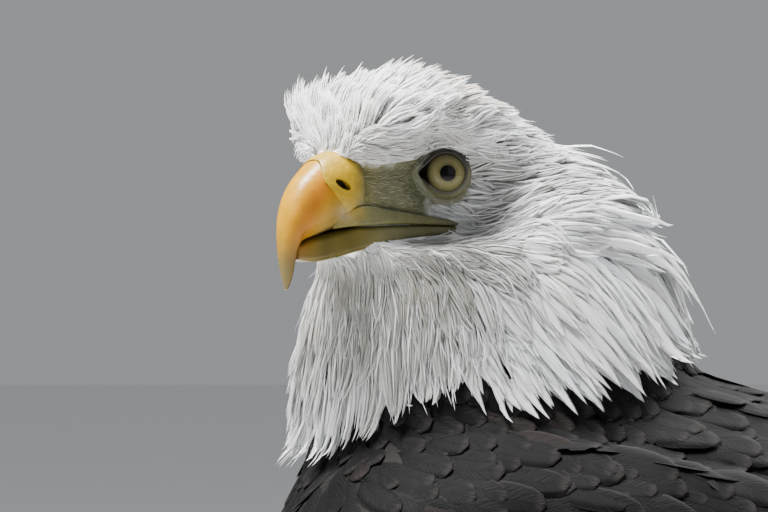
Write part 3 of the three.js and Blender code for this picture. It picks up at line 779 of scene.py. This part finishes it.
def laid(roots, lengths, angles, flow, steps, lift=0.0, sway=0.0):
    """Feathers that grow at roots and lie along the flow: their middle lines, the directions
    that their upper sides face, and their roots' places on the unwrap."""
    place, normal, index = nearest(roots)
    turn = chance.normal(0, 1, len(roots))[:, None] * sway
    step = (lengths * np.cos(angles) / (steps - 1))[:, None]
    path, ups = [], []
    for k in range(steps):
        height = lift + (lengths * np.sin(angles) * (k / (steps - 1)))[:, None]
        path.append(place + normal * height)
        ups.append(normal)
        along = flow(place)
        along = unit(along - normal * (along * normal).sum(1)[:, None])
        along = along * np.cos(turn) + np.cross(normal, along) * np.sin(turn)
        if k < steps - 1:
            place, normal, _ = nearest(place + along * step)
    return np.stack(path, 1), np.stack(ups, 1), face_unwrap[index]


def vanes(name, dress, path, ups, root_uv, widths, outline, columns, colours, thickness,
          droop=0.18, roll=0.0, fray=0.0, soft=0.0):
    """Closed thin vanes along middle lines, joined as one mesh and dressed. Each is one small
    patch of the unwrap, and carries its colour, and its own places across and along it. Barbs
    scatter light as a pile does, so the shading normals turn by `soft` to those of the coat."""
    count, steps, _ = path.shape
    # The rings of points stand closer together towards the tip.
    along = 1 - (1 - np.linspace(0, 1, steps)) ** 1.5
    low = np.minimum((along * (steps - 1)).astype(int), steps - 2)
    rest = (along * (steps - 1) - low)[None, :, None]
    path = path[:, low] * (1 - rest) + path[:, low + 1] * rest
    ups = unit(ups[:, low] * (1 - rest) + ups[:, low + 1] * rest)
    tangent = unit(np.gradient(path, axis=1))
    side = unit(np.cross(ups, tangent))
    up = np.cross(tangent, side)
    tilt = chance.normal(0, 1, (count, 1, 1)) * roll
    side, up = side * np.cos(tilt) + up * np.sin(tilt), up * np.cos(tilt) - side * np.sin(tilt)
    half = widths[:, None] / 2 * outline(along)[None]
    across = np.linspace(-1, 1, columns)
    around = np.concatenate([across, across[-2:0:-1]])
    ring = len(around)
    rise = np.concatenate([1 - across**2, -(1 - across[-2:0:-1] ** 2)])
    ragged = 1 + fray * chance.normal(0, 1, (count, steps, 1)) * around
    reach = half[:, :, None] * around * ragged
    raised = thickness * rise * (1.2 - along[None, :, None]) - droop * half[:, :, None] * around**2
    body = (path[:, :, None] + side[:, :, None] * reach[..., None]
            + up[:, :, None] * raised[..., None])[:, 1:-1]
    points = np.concatenate([path[:, :1], body.reshape(count, -1, 3), path[:, -1:]], 1)
    each = points.shape[1]

    # Faces between the rings, and fans to the root and to the tip.
    rows = steps - 2
    sides, fans = [], []
    for j in range(ring):
        k = (j + 1) % ring
        last = 1 + (rows - 1) * ring
        fans += [(0, 1 + j, 1 + k), (each - 1, last + k, last + j)]
        for i in range(rows - 1):
            low, high = 1 + i * ring, 1 + (i + 1) * ring
            sides.append((low + j, high + j, high + k, low + k))
    offset = (np.arange(count) * each)[:, None, None]
    sides, fans = np.array(sides)[None] + offset, np.array(fans)[None] + offset
    corners = np.concatenate([sides.ravel(), fans.ravel()])
    faces = sides.reshape(-1, 4).tolist() + fans.reshape(-1, 3).tolist()
    mesh = bpy.data.meshes.new(name)
    mesh.from_pydata(points.reshape(-1, 3).tolist(), [], faces)
    mesh.shade_smooth()
    made = added(name, mesh)
    painted(made, np.repeat(colours, each, 0))

    # Vane: from -1 to 1 across and 0 to 1 along. Barbs: the same in millimetres. The third
    # number of both tells the feathers apart.
    flat_across = np.concatenate([[0], np.tile(around, rows), [0]])
    flat_along = np.concatenate([[0], np.repeat(along[1:-1], ring), [1]])
    number = chance.random(count)[:, None]
    length = np.linalg.norm(np.diff(path, axis=1), axis=2).sum(1)[:, None]
    for label, places in (
        ("Vane", (flat_across, flat_along, number)),
        ("Barbs", (flat_across * widths[:, None] * 500, flat_along * length * 1000, number * 400)),
    ):
        store(made, label, np.stack([np.broadcast_to(p, (count, each)) for p in places], -1))
    spot = np.stack([flat_across, flat_along * 2 - 1], 1)[None] * UV_PATCH / 2
    uv = (root_uv[:, None] + spot).reshape(-1, 2)[corners]
    mesh.uv_layers.new(name="OFBake").data.foreach_set("uv", uv.astype(np.float32).ravel())
    if soft:
        own = arrays(made)[1]
        coat = np.concatenate([ups[:, :1], np.repeat(ups[:, 1:-1], ring, 1), ups[:, -1:]], 1)
        coat = coat.reshape(-1, 3)
        facing = (own * coat).sum(1)[:, None]
        normals = unit(own * (1 - soft) + coat * soft * np.where(facing < -0.2, -1, 1))
        mesh.normals_split_custom_set_from_vertices(normals.tolist())
    print(name, count, "vanes", flush=True)
    dressed(made, *dress)


def lance(along):
    """Outline of a narrow pointed feather: half its width along it, widest before the middle."""
    return 1.75 * along**0.55 * (1 - along) ** 0.8 + 0.02


def hackle(along):
    """Outline of a broad feather that ends in a long sharp point."""
    return np.minimum(1, (along / 0.3) ** 0.6) * np.clip((1 - along) / 0.5, 0, 1) ** 0.85


def away_from_bill(places):
    """The lie of the head's feathers: away from the root of the bill, then down the neck."""
    out = unit(head_view(places) - np.array([64.0, 0, -2])) * np.array([1, 0.75, 1])
    fan = unit(out + np.array([-0.55, 0, 0.0])) @ HEAD_AXES
    x = places[:, 0]
    down = np.stack([0.1 + 0.65 * ramp(x, -0.235, -0.14), 0 * x, -1 + 0 * x], 1)
    share = ramp(places[:, 2], 0.572, 0.535)[:, None]
    return fan * (1 - share) + unit(down) * share


def from_bill(places):
    """How far a place on the head is behind the root of the bill, in millimetres."""
    away = (head_view(places) - np.array([60.0, 0, -6])) * np.array([1, 1, 1.15])
    return np.linalg.norm(away, axis=1)


def head_spacing(places):
    return np.interp(from_bill(places), REACH, SPACINGS) / 1000


def head_where(places):
    """1 where white feathers grow: not on bare skin, under the bill's root, or along the gape."""
    seen = head_view(places)
    f, aside, u = seen[:, 0], np.abs(seen[:, 1]), seen[:, 2]
    bare = lore_share(seen) > 0.45
    in_bill = (f > 55 + 7 * ramp(u, 2, 7)) & (u < 9) & (u > -34)
    jaw = (u < -20) & (u > -28) & (f > 10) & (aside > 27 - 0.42 * (f - 10))
    keep = ~bare & ~in_bill & ~jaw & (above_border(places) > 0.018) & (places[:, 0] < -0.09)
    return keep.astype(float)


roots = scattered(head_spacing, head_where, 240000)
count = len(roots)
seen = head_view(roots)
f, u = seen[:, 0], seen[:, 2]
far = from_bill(roots)
crown = ramp(u, 10, 28) * ramp(f, -35, 40)
forehead = ramp(f, 28, 48) * ramp(u, -4, 6) * (1 - ramp(u, 16, 28))
throat = ramp(u, -26, -40) * ramp(f, 0, 30) * (1 - ramp(far, 95, 130))
puffed = forehead * ramp(-seen[:, 1], -2, 7)
lengths = np.interp(far, REACH, LENGTHS) * chance.uniform(0.8, 1.25, count) / 1000
lengths *= 1 + 0.25 * crown + 0.5 * throat + 0.5 * forehead
lengths *= 1 + 0.3 * puffed
widths = np.interp(far, REACH, WIDTHS) * chance.uniform(0.75, 1.2, count) / 1000
widths *= 1 - 0.35 * throat
widths *= 1 - 0.48 * ramp(above_border(roots), 0.045, 0.075) * (far > LONG_FROM)
rise = np.interp(far, REACH, RISES) + 12 * crown + 15 * forehead + 12 * puffed
angles = np.radians(rise)
angles += np.radians(7) * (ramp(-roots[:, 0], 0.235, 0.265) * (roots[:, 2] < 0.545))
angles *= chance.uniform(0.7, 1.3, count)
# The long hackles stop at the ragged edge over the brown, give or take a few millimetres.
room = above_border(roots) + chance.uniform(-0.016, -0.006, count)
lengths = np.where(far > LONG_FROM, np.minimum(lengths, room), lengths)
tan = bell((f - 22) / 16, (u - 34) / 12) * 0.55
# Painted shade under the brow, bill and jaw and on the cheek, throat and nape, partly the
# feathers' own dusky grey.
shade_and_dusk = sum(bell((f - ahead) / long, (u - up) / high) * strength
           for ahead, up, long, high, strength in SHADE_AND_DUSK_PLACES)
fine = 0.55 * (1 - ramp(far, 55, 80)) * (1 - crown)
# Painted shade on the throat under the bill, stronger on some feathers than on others.
throat_shade = 0.5 * throat * chance.random(count)
tones = blend(
    "dfe3e8", ("f4f4f2", chance.random(count)), ("b49a78", tan * chance.uniform(0.3, 1.2, count)),
    ("5c5d56", np.minimum(shade_and_dusk * chance.uniform(0.2, 1.3, count), 0.85)), ("8f9188", throat_shade),
    ("83847b", fine * chance.random(count) ** 2),
)
# Faint stains in patches of a few centimetres.
stain = np.zeros(count)
for spot in roots[chance.choice(count, STAINS)]:
    away = np.linalg.norm(roots - spot, axis=1)
    stain += chance.uniform(0.1, 0.4) * bell(away / 0.011)
tones = blend(tones, ("a89c8a", stain.clip(0, 0.5) * chance.uniform(0.3, 1, count)))

# White keratin barbs: matt and faintly silky, with fine grooves along the vane that part here
# and there. The grooves are drawn about a millimetre apart so that they show.
white_barbs, tree = finish_material("white_feather_barbs", Roughness=0.7, Subsurface_Weight=0.6,
                                    Subsurface_Radius=(1, 1, 1), Subsurface_Scale=0.004)
barbs = node(tree, "Attribute", attribute_name="Barbs")["Vector"]
stretched = node(tree, "VectorMath", barbs, (1.5, 0.10, 1), operation="MULTIPLY")["Vector"]
groove = node(tree, "TexNoise", stretched, Scale=1, Detail=3, Roughness=0.6)["Fac"]
surfaced(tree, marked(tree, groove, 0.3, 0.6, 0.78, 1.0), groove, 0.5, 0.0006)


def clumps(places, members):
    """Gathers feathers in clumps, each round a leader: the leader of every feather."""
    heads = chance.choice(len(places), max(1, len(places) // members), replace=False)
    tree = searchable(places[heads])
    return heads[[tree.find(place)[1] for place in places]]


# Preened feathers cling together: their tips are drawn towards the tip of a longer leader.
for name, chosen, steps, columns, members, pull, outline in (
    ("feathers_face", far < 56, 6, 3, 24, 0.6, lance),
    ("feathers_crown", (far >= 56) & (far < 92), 6, 3, 22, 0.65, lance),
    ("hackles_upper", (far >= 92) & (far < 122), 8, 5, 5, 0.5, hackle),
    ("hackles_lower", far >= 122, 9, 5, 4, 0.5, hackle),
):
    place, lowest = roots[chosen], name == "hackles_lower"
    leader = clumps(place, members)
    at_edge = above_border(place) < EDGE_BAND
    edge = np.flatnonzero(at_edge)
    if lowest:
        leader[edge] = edge[clumps(place[edge], 17)]
    leads = np.isin(np.arange(len(leader)), leader)
    longer = 1 + 0.35 * leads * crown[chosen]
    spare = np.where(leads & (far[chosen] > 100), 0.012 + 0.008 * at_edge, 0)
    # Some tufts on the nape stand away from the rest.
    wild = leads & (f[chosen] < -30) & (far[chosen] > 80) & (chance.random(len(leader)) < 0.4)
    path, ups, uv = laid(place, lengths[chosen] * longer + spare,
                         angles[chosen] * longer * (1 + 1.8 * wild), away_from_bill, steps,
                         sway=0.1)
    share = (pull + 0.22 * at_edge * lowest)[:, None, None]
    share = share * np.linspace(0, 1, steps)[None, :, None] ** 1.5
    path = path + (path[leader] - path) * share
    vanes(name, (white_barbs, "white_feathers", "head", "neck"), path, ups, uv, widths[chosen],
          outline, columns, tones[chosen], 0.00014, roll=0.12, fray=0.08, soft=0.5)


# Bristle feathers on the bare lores: hair-fine, some dark and some pale, sparse, lying back
# towards the eye. The same fine hairs, white, lie loose over the ruff and the throat.
def lore_where(places):
    seen = head_view(places)
    return ((lore_share(seen) > 0.3) & (seen[:, 0] < 57)).astype(float)


def ruff_where(places):
    return head_where(places) * (from_bill(places) > 45)


for name, spacing, where, thrown, size, width in (
    ("bristles_lores", 0.0009, lore_where, 9000, (1.8, 4.2), 0.2),
    ("loose_hairs", 0.0034, ruff_where, 30000, (14, 26), 0.75),
):
    roots = scattered(evenly(spacing), where, thrown)
    count = len(roots)
    lengths = chance.uniform(*size, count) / 1000
    if name == "bristles_lores":
        tones = blend("68684e", ("23221b", (chance.random(count) < 0.3) * chance.random(count)),
                      ("9c9c86", (chance.random(count) < 0.3) * 0.7))
    else:
        lengths = np.minimum(lengths, above_border(roots) + 0.002)
        tones = blend("dfe3e8", ("f6f6f4", chance.random(count)))
    angles = np.radians(9) * chance.uniform(0.3, 1.8, count)
    lines = laid(roots, lengths, angles, away_from_bill, 6, lift=0.0001, sway=0.17)
    vanes(name, (white_barbs, "white_feathers", "head", "neck"), *lines,
          np.full(count, width / 1000), lance, 3, tones, 0.00009, soft=0.6)


# ---- brown feathers of the body --------------------------------------------------------------
# Broad round-ended vanes like shingles, from the mantle and the breast back over the body. They
# are dark brown with a worn, paler rim, larger towards the rump, and looser on the thighs.

ALONG_BODY = (-0.30, -0.2, 0.0, 0.12)  # for the two rows below
BODY_SPACINGS = (7, 7.5, 10, 12)
BODY_LENGTHS = (27, 31, 40, 46)
BODY_LIE = np.array([0.93, 0, -0.36])
BREAST_LIE = np.array([0.12, 0, -1])
THIGH_LIE = np.array([0.25, 0, -1.0])
LEG_SPACING = 0.0075
CUFF = 0.076  # the height where the thighs' lowest feathers end

region_of = np.array([name.rsplit("_", 1)[0] if name.endswith(("left", "right")) else name
                      for name in owner])
face_region = region_of[quads[:, 0]]

# Brown keratin barbs: matt, close to black in the middle of a feather and bleached to a thin
# grey-brown line at its rim, with a dark shaft. The barbs are drawn about a millimetre apart.
brown_barbs, tree = finish_material("brown_feather_barbs", Roughness=0.72,
                                    Specular_IOR_Level=0.05)
vane, barbs = (node(tree, "Attribute", attribute_name=key)["Vector"] for key in ("Vane", "Barbs"))
across, up_vane, _ = node(tree, "SeparateXYZ", vane)
x, y, z = node(tree, "SeparateXYZ", barbs)
# Barbs slant from the shaft towards the tip, so they are lines of equal height over its sides.
from_shaft = node(tree, "Math", x, operation="ABSOLUTE")["Value"]
slant = node(tree, "Math", from_shaft, -1.1, y, operation="MULTIPLY_ADD")["Value"]
slanted = node(tree, "CombineXYZ", x, slant, z)["Vector"]
stretched = node(tree, "VectorMath", slanted, (0.12, 1.1, 1), operation="MULTIPLY")["Vector"]
groove = node(tree, "TexNoise", stretched, Scale=1, Detail=3)["Fac"]
aside = node(tree, "Math", across, operation="ABSOLUTE")["Value"]
outmost = node(tree, "Math", aside, up_vane, operation="MAXIMUM")["Value"]
rim = node(tree, "MapRange", outmost, 0.84, 0.98, 0, 1)["Result"]
bleached = node(tree, "Math", rim, groove, operation="MULTIPLY")["Value"]
pale = node(tree, "Mix", data_type="RGBA", Factor=bleached, B=linear("262322"),
            A=node(tree, "Attribute", attribute_name="Markings")["Color"])["Result"]
ridges = node(tree, "MapRange", groove, 0.3, 0.7, 0.65, 1.25)["Result"]
shaft = node(tree, "MapRange", aside, 0.02, 0.07, 0.5, 1.0)["Result"]
shade = node(tree, "Math", ridges, shaft, operation="MULTIPLY")["Value"]
surfaced(tree, node(tree, "VectorMath", pale, shade, operation="MULTIPLY")["Vector"], groove,
         0.6, 0.0008)


def spade(along):
    """Outline of a broad round-ended feather."""
    return np.minimum(1, (along / 0.3) ** 0.55) * np.sqrt(np.clip(1 - along**5, 0, 1))


def region_at(places):
    return face_region[nearest(places)[2]]


def backwards(places):
    """Down the breast, and back over the body."""
    share = ramp(-places[:, 0], 0.19, 0.3)[:, None]
    return unit(BODY_LIE * (1 - share) + BREAST_LIE * share)


def always(heading):
    return lambda places: np.tile(heading, (len(places), 1))


def body_spacing(places):
    """Closer on the shoulders and the breast, wider towards the rump."""
    return np.interp(places[:, 0], ALONG_BODY, BODY_SPACINGS) / 1000


def brown_where(places):
    """1 on the trunk and over the wings, as far as the flight feathers that show."""
    _, normal, index = nearest(places)
    here = face_region[index]
    body = np.isin(here, ["trunk", "wing_coverts", "neck"]) & (above_border(places) < 0.026)
    x, y, z = places.T
    inner = ((normal[:, 2] > -0.1) & ((np.abs(y) < 0.075) | (z > 0.4))) | (x < -0.085)
    return (body | ((here == "wing_secondaries") & inner)).astype(float)


def leg_where(places):
    return (region_at(places) == "thigh").astype(float)


def browns(count):
    """Near blacks, with an odd browner one."""
    tones = blend("060606", ("0c0b0c", chance.random(count) ** 1.4))
    return blend(tones, ("1b1715", (chance.random(count) > 0.93) * 0.5))


roots = scattered(body_spacing, brown_where, 60000)
grown = np.interp(roots[:, 0], ALONG_BODY, BODY_LENGTHS) / 1000
grown *= chance.uniform(0.88, 1.15, len(roots))
angles = np.radians(2.6) * chance.uniform(0.5, 1.5, len(roots))
wing = np.char.startswith(region_at(roots), "wing")
for name, chosen, nodes in (
    ("feathers_mantle_and_breast", ~wing, ["trunk"]),
    ("feathers_wing_coverts", wing, ["wing_coverts_left", "wing_coverts_right",
                                     "wing_secondaries_left", "wing_secondaries_right"]),
):
    count = int(chosen.sum())
    lines = laid(roots[chosen], grown[chosen], angles[chosen], backwards, 7, sway=0.07)
    vanes(name, (brown_barbs, "brown_feathers", *nodes), *lines,
          grown[chosen] * chance.uniform(0.46, 0.55, count), spade, 5, browns(count), 0.0003,
          droop=0.12, roll=0.05, fray=0.03, soft=0.55)

roots = scattered(evenly(LEG_SPACING), leg_where, 12000)
grown = np.interp(roots[:, 2], (0.09, 0.16, 0.28), (17, 26, 32)) / 1000
grown *= chance.uniform(0.85, 1.2, len(roots))
grown = np.clip(roots[:, 2] - CUFF, 0.012, grown)
path, ups, uv = laid(roots, grown, np.radians(5) * chance.uniform(0.5, 1.6, len(roots)),
                     always(THIGH_LIE), 6, sway=0.1)
# The lowest ones hang straight down past the end of the thigh.
low = roots[:, 2] < 0.128
hang = unit(unit(path[low, 1] - path[low, 0]) + np.array([0, 0, -1.2])) * grown[low, None]
path[low] = path[low, :1] + hang[:, None] * np.linspace(0, 1, 6)[None, :, None]
vanes("feathers_thighs", (brown_barbs, "brown_feathers", "thigh_left", "thigh_right"), path, ups,
      uv, np.minimum(grown * 0.45, 0.012), lance, 5, browns(len(roots)), 0.0003, roll=0.08,
      fray=0.06)


# ---- flight feathers of the folded wings -----------------------------------------------------
# Long stiff quills, folded like a fan: each lies half over the next, with a strong shaft, and
# only the edge and the tip of those below show.

QUILL_STEPS = 14
WING_X = 0.08325  # the tips' places are measured from here, ahead of the bird's middle
# Tips seen from the side, back and up in millimetres, from the undermost one to the topmost.
SECONDARY_TIPS = [(-10, 297), (22, 286), (55, 276), (88, 266), (120, 257), (152, 254),
                  (182, 258), (206, 268), (222, 287), (220, 315)]
PRIMARY_TIPS = [(230, 214), (272, 200), (318, 186), (350, 180), (343, 200), (322, 228),
                (298, 256), (270, 284), (246, 312)]


def quill_shape(along):
    """Outline of a flight feather: narrow quill, long even vane, bluntly pointed tip."""
    return np.minimum(1, 0.35 + (along / 0.35) ** 0.8) * np.sqrt(np.clip(1 - along**7, 0, 1))


def met(places, heading):
    """Where straight lines from these places meet the skin, or none."""
    hits = [skin_tree.ray_cast(Vector(place), Vector(heading))[0] for place in places]
    return np.array([hit or (np.nan, np.nan, np.nan) for hit in hits])


def quills(side, tips, heading, lengths, lift):
    """Middle lines of one wing's flight feathers, which lie against it one over the other, the
    directions that their upper sides face, and their places on the unwrap."""
    count, steps = len(tips), QUILL_STEPS
    run = np.stack([np.cos(np.radians(heading)), np.sin(np.radians(heading))], 1)
    along = np.linspace(1, 0, steps)
    flat = tips[:, None] - run[:, None] * (lengths[:, None] * along)[..., None]
    out = met([(x, side * 0.3, z) for x, z in flat.reshape(-1, 2)], (0, -side, 0))[:, 1]
    out = np.abs(out).reshape(count, steps)
    for row in out:
        known = np.flatnonzero(~np.isnan(row))
        row[:] = np.interp(np.arange(steps), known, row[known]) if len(known) else 0.05
    for _ in range(4):
        padded = np.pad(out, ((0, 0), (1, 1)), mode="edge")
        out = (padded[:, :-2] + 2 * padded[:, 1:-1] + padded[:, 2:]) / 4
    for k in range(1, steps):
        out[:, k] = np.maximum(out[:, k], out[:, k - 1] - 0.003)
    rank = (np.arange(count) / count)[:, None]
    out = out + 0.0012 + lift * rank + 0.0012 * (1 - along[None])
    path = np.stack([flat[..., 0], side * out, flat[..., 1]], 2)
    ups = nearest(path.reshape(-1, 3))[1].reshape(path.shape)
    ups = unit(ups * np.array([0.3, 1, 0.3]) + np.array([0, side * 1.2, 0.15]))
    return path, ups, face_unwrap[nearest(path[:, 5])[2]]


for word, side in (("left", -1), ("right", 1)):
    for label, places, low, high, size, width, top in (
        ("primaries", PRIMARY_TIPS, -27, -36, (150, 230), 0.030, 0.0012),
        ("secondaries", SECONDARY_TIPS, -20, -38, (90, 165), 0.034, 0.0022),
    ):
        tips = np.array(places) / 1000 - np.array([WING_X, 0])
        share = np.linspace(0, 1, len(tips))
        heading = low + (high - low) * share
        lengths = (size[0] + (size[1] - size[0]) * np.sin(share * math.pi) ** 0.7) / 1000
        vanes(f"quills_{label}_{word}", (brown_barbs, "flight_feathers", f"wing_{label}_{word}"),
              *quills(side, tips, heading, lengths, top), np.full(len(tips), width), quill_shape,
              7, blend("0c0b0a", ("161311", chance.random(len(tips)))), 0.0005, droop=0.10,
              fray=0.012)


# ---- tail ------------------------------------------------------------------------------------
# Twelve white tail feathers, nearly closed, the middle pair on top and each next one under it,
# with their roots covered by softer white feathers above and below.

TAIL_PAIRS = 6
TAIL_WIDTH = 0.027
TAIL_LIE = [0.69, 0, -0.72]
COVERT_SPACING = 0.008
COVERT_REACH = 0.05  # how far back from the tail's root its coverts grow
tail_lo, tail_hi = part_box("tail")


def tail_root_where(places):
    near_root = places[:, 0] < tail_lo.x + COVERT_REACH
    return ((region_at(places) == "tail") & near_root).astype(float)


def tail_whites(count):
    return blend("dfe2e6", ("f2f2ef", chance.random(count)))


paths, facings = [], []
share = np.linspace(0, 1, QUILL_STEPS)
out_of_skin = ramp(share, 0, 0.3)
for up in (1, -1):
    for pair in reversed(range(TAIL_PAIRS)):
        for side in (1, -1):
            end = tail_hi.x + 0.004 - 0.0035 * pair
            x = tail_lo.x - 0.004 + (end - tail_lo.x) * share
            spread = (pair + 0.5) / TAIL_PAIRS
            y = side * spread * (0.022 + 0.022 * share**1.3)
            # The feather follows a smooth curve that just clears the skin above or below.
            height = met([(a, b * 0.7, 0.45 if up > 0 else 0.02) for a, b in zip(x, y)],
                         (0, 0, -up))[:, 2]
            known = np.flatnonzero(~np.isnan(height))
            fit = np.polyfit(x[known], height[known], 2)
            gap = (height[known] - np.polyval(fit, x[known])) * up
            z = np.polyval(fit, x) + up * max(gap.max(), 0) * out_of_skin
            rank = 0.0065 + 0.0022 * (1 - pair / TAIL_PAIRS)
            z = z + up * (rank * out_of_skin - 0.0035)
            paths.append(np.stack([x, y, z], 1))
            facings.append(np.tile([0.55 * up, side * 0.12 * pair / 5, up], (QUILL_STEPS, 1)))
paths, facings = np.array(paths), unit(np.array(facings, float))
uv = face_unwrap[nearest(paths[:, QUILL_STEPS // 2])[2]]
vanes("tail_feathers", (white_barbs, "white_feathers", "tail"), paths, facings, uv,
      np.full(len(paths), TAIL_WIDTH), quill_shape, 7, tail_whites(len(paths)), 0.0005,
      droop=0.08, fray=0.012)

roots = scattered(evenly(COVERT_SPACING), tail_root_where, 6000)
grown = chance.uniform(0.032, 0.044, len(roots))
lines = laid(roots, grown, np.radians(6) * chance.uniform(0.7, 1.3, len(roots)),
             always(TAIL_LIE), 7, lift=0.0055, sway=0.06)
vanes("tail_coverts", (white_barbs, "white_feathers", "tail"), *lines, grown * 0.42, spade, 5,
      tail_whites(len(roots)), 0.0003, droop=0.12, roll=0.05, fray=0.04, soft=0.4)


# ---- feet ------------------------------------------------------------------------------------
# Bare yellow feet: one skin over shank and toes of each leg, with broad plates down the front of
# the shank and along the tops of the toes, and small beaded scales all over the rest.

FOOT_GRID = 0.0011
SHANK_PLATE = 0.0058
TOE_PLATE = 0.0043
FOOT_AT = (-0.07725, 0.058)  # where the toes meet: along the bird, and out from its midline
TOES = ("outer", "middle", "inner", "hallux")
# For each toe: its direction from straight ahead and outward in degrees, its reach, the height
# where the claw starts, and the radii of the claw's bend and of its root, in millimetres.
CLAWS = [(42, 60, 7.0, 16.5, 6.2), (4, 78, 7.3, 19, 6.8), (-34, 50, 7.7, 22.5, 7.6),
         (186, 40, 8.1, 24, 8.2)]
CLAW_RISE = math.radians(40)

# Scaly skin of the feet: horny and yellow, dull, with dark seams between beads two millimetres
# apart.
foot_scales, tree = finish_material("scaly_foot_skin", Roughness=0.5, Specular_IOR_Level=0.35)
own = node(tree, "TexCoord")["Object"]
beads = node(tree, "TexVoronoi", own, Scale=470, feature="DISTANCE_TO_EDGE")["Distance"]
seam = node(tree, "MapRange", beads, 0, 0.16, 0.5, 1)["Result"]
cloud = node(tree, "TexNoise", own, Scale=110, Detail=4)["Fac"]
clouded = marked(tree, cloud, 0.3, 0.7, 0.72, 1.15)
surfaced(tree, node(tree, "VectorMath", clouded, seam, operation="MULTIPLY")["Vector"], seam,
         0.6, 0.0005)

# Keratin of the claws: black and polished by wear, browner in streaks under 2 mm wide.
claw_keratin, tree = finish_material("claw_keratin_black")
streak = node(tree, "TexNoise", node(tree, "TexCoord")["Object"], Scale=600, Detail=4)["Fac"]
surfaced(tree, node(tree, "Mix", data_type="RGBA", Factor=streak, A=linear("0b0a0a"),
                    B=linear("2a2521"))["Result"],
         rough=node(tree, "MapRange", streak, 0, 1, 0.2, 0.42)["Result"])

for word, side in (("left", -1), ("right", 1)):
    leg = [f"shank_{word}"] + [f"toe_{name}_{word}" for name in TOES]
    made, starts_at = [], []
    for turn, toe_reach, height, bend, root in CLAWS:
        # A hooked claw follows an arc that climbs from the toe and comes down to the floor.
        turn = math.radians(turn)
        ahead = np.array([-math.cos(turn), side * math.sin(turn), 0])
        across = np.array([-ahead[1], ahead[0], 0])
        start = np.array([FOOT_AT[0], side * FOOT_AT[1], height / 1000])
        start += ahead * (toe_reach - 1.2 + (root + 0.5) * math.sin(CLAW_RISE)) / 1000
        fall = math.acos(math.cos(CLAW_RISE) - (height - 0.9) / bend)
        t = 1 - (1 - np.linspace(0, 1, 26)) ** 1.3
        angle = CLAW_RISE - (CLAW_RISE + fall) * t
        run = bend * (math.sin(CLAW_RISE) - np.sin(angle)) / 1000
        lift = bend * (np.cos(angle) - math.cos(CLAW_RISE)) / 1000
        girth = (root * (1 - t) ** 0.75 + 0.5)[:, None] / 1000
        middles = start + np.outer(run, ahead) + np.outer(lift, UP)
        ups = np.outer(np.cos(angle), UP) - np.outer(np.sin(angle), ahead)
        made.append(tube("claws_" + word, middles, across * girth * 0.8, ups * girth, 2.2, 32))
        starts_at.append(start)
    select(*made)
    bpy.ops.object.join()
    claws = bpy.context.object
    claws.name = "claws_" + word
    foot = copies(leg)
    foot.name = "foot_skin_" + word
    modified(foot, "REMESH", mode="VOXEL", voxel_size=FOOT_GRID)
    points, normals, edges = arrays(foot)
    points = evened(points, edges, 2)
    # The ends of the toes are rounded over the roots of the claws, and taper to them.
    to_claw = np.min([np.linalg.norm(points - start, axis=1) for start in starts_at], axis=0)
    rounded = (1 - ramp(to_claw, 0.006, 0.013))[:, None]
    points = points * (1 - rounded) + evened(points, edges, 40) * rounded
    for start in starts_at:
        away = points - start
        ahead = unit(away.mean(0) * np.array([-1, -1, 0]))
        run = away @ ahead
        taper = 0.32 * ramp(run, -0.015, 0) * (np.linalg.norm(away, axis=1) < 0.019)
        points = points - (away - run[:, None] * ahead) * taper[:, None]
    # Plates stand out a little, with grooves between them.
    normals = unit(evened(normals, edges, 3))
    reach = np.hypot(points[:, 0] - FOOT_AT[0], points[:, 1] - side * FOOT_AT[1])
    leg_share = ramp(points[:, 2], 0.020, 0.030)
    on_leg = leg_share * ramp(-normals[:, 0], 0.35, 0.7)
    on_toe = (1 - leg_share) * ramp(normals[:, 2], 0.45, 0.75) * ramp(reach, 0.014, 0.022)
    steps_up = np.abs(np.sin(math.pi * points[:, 2] / SHANK_PLATE)) ** 0.4
    steps_out = np.abs(np.sin(math.pi * reach / TOE_PLATE)) ** 0.4
    plates = np.maximum(on_leg, on_toe)
    groove = on_leg * (1 - steps_up) + on_toe * (1 - steps_out)
    points = points + normals * (0.0007 * plates - 0.0011 * groove)[:, None]
    points[:, 2] = points[:, 2].clip(0)
    move(foot, points)
    soles = ramp(-normals[:, 2], 0.2, 0.8) * (1 - leg_share) * 0.6
    painted(foot, blend("a87a08", ("c99a1c", plates), ("3f2d0a", groove * 0.8),
                        ("8f7a3a", soles)))
    for piece, material, slot, nodes in (
        (foot, foot_scales, "foot_skin", leg),
        (claws, claw_keratin, "claw_horn", [f"claw_{name}_{word}" for name in TOES]),
    ):
        select(piece)
        bpy.ops.object.shade_smooth()
        dressed(piece, material, slot, *nodes)
        print(piece.name, len(piece.data.polygons), "quads", flush=True)
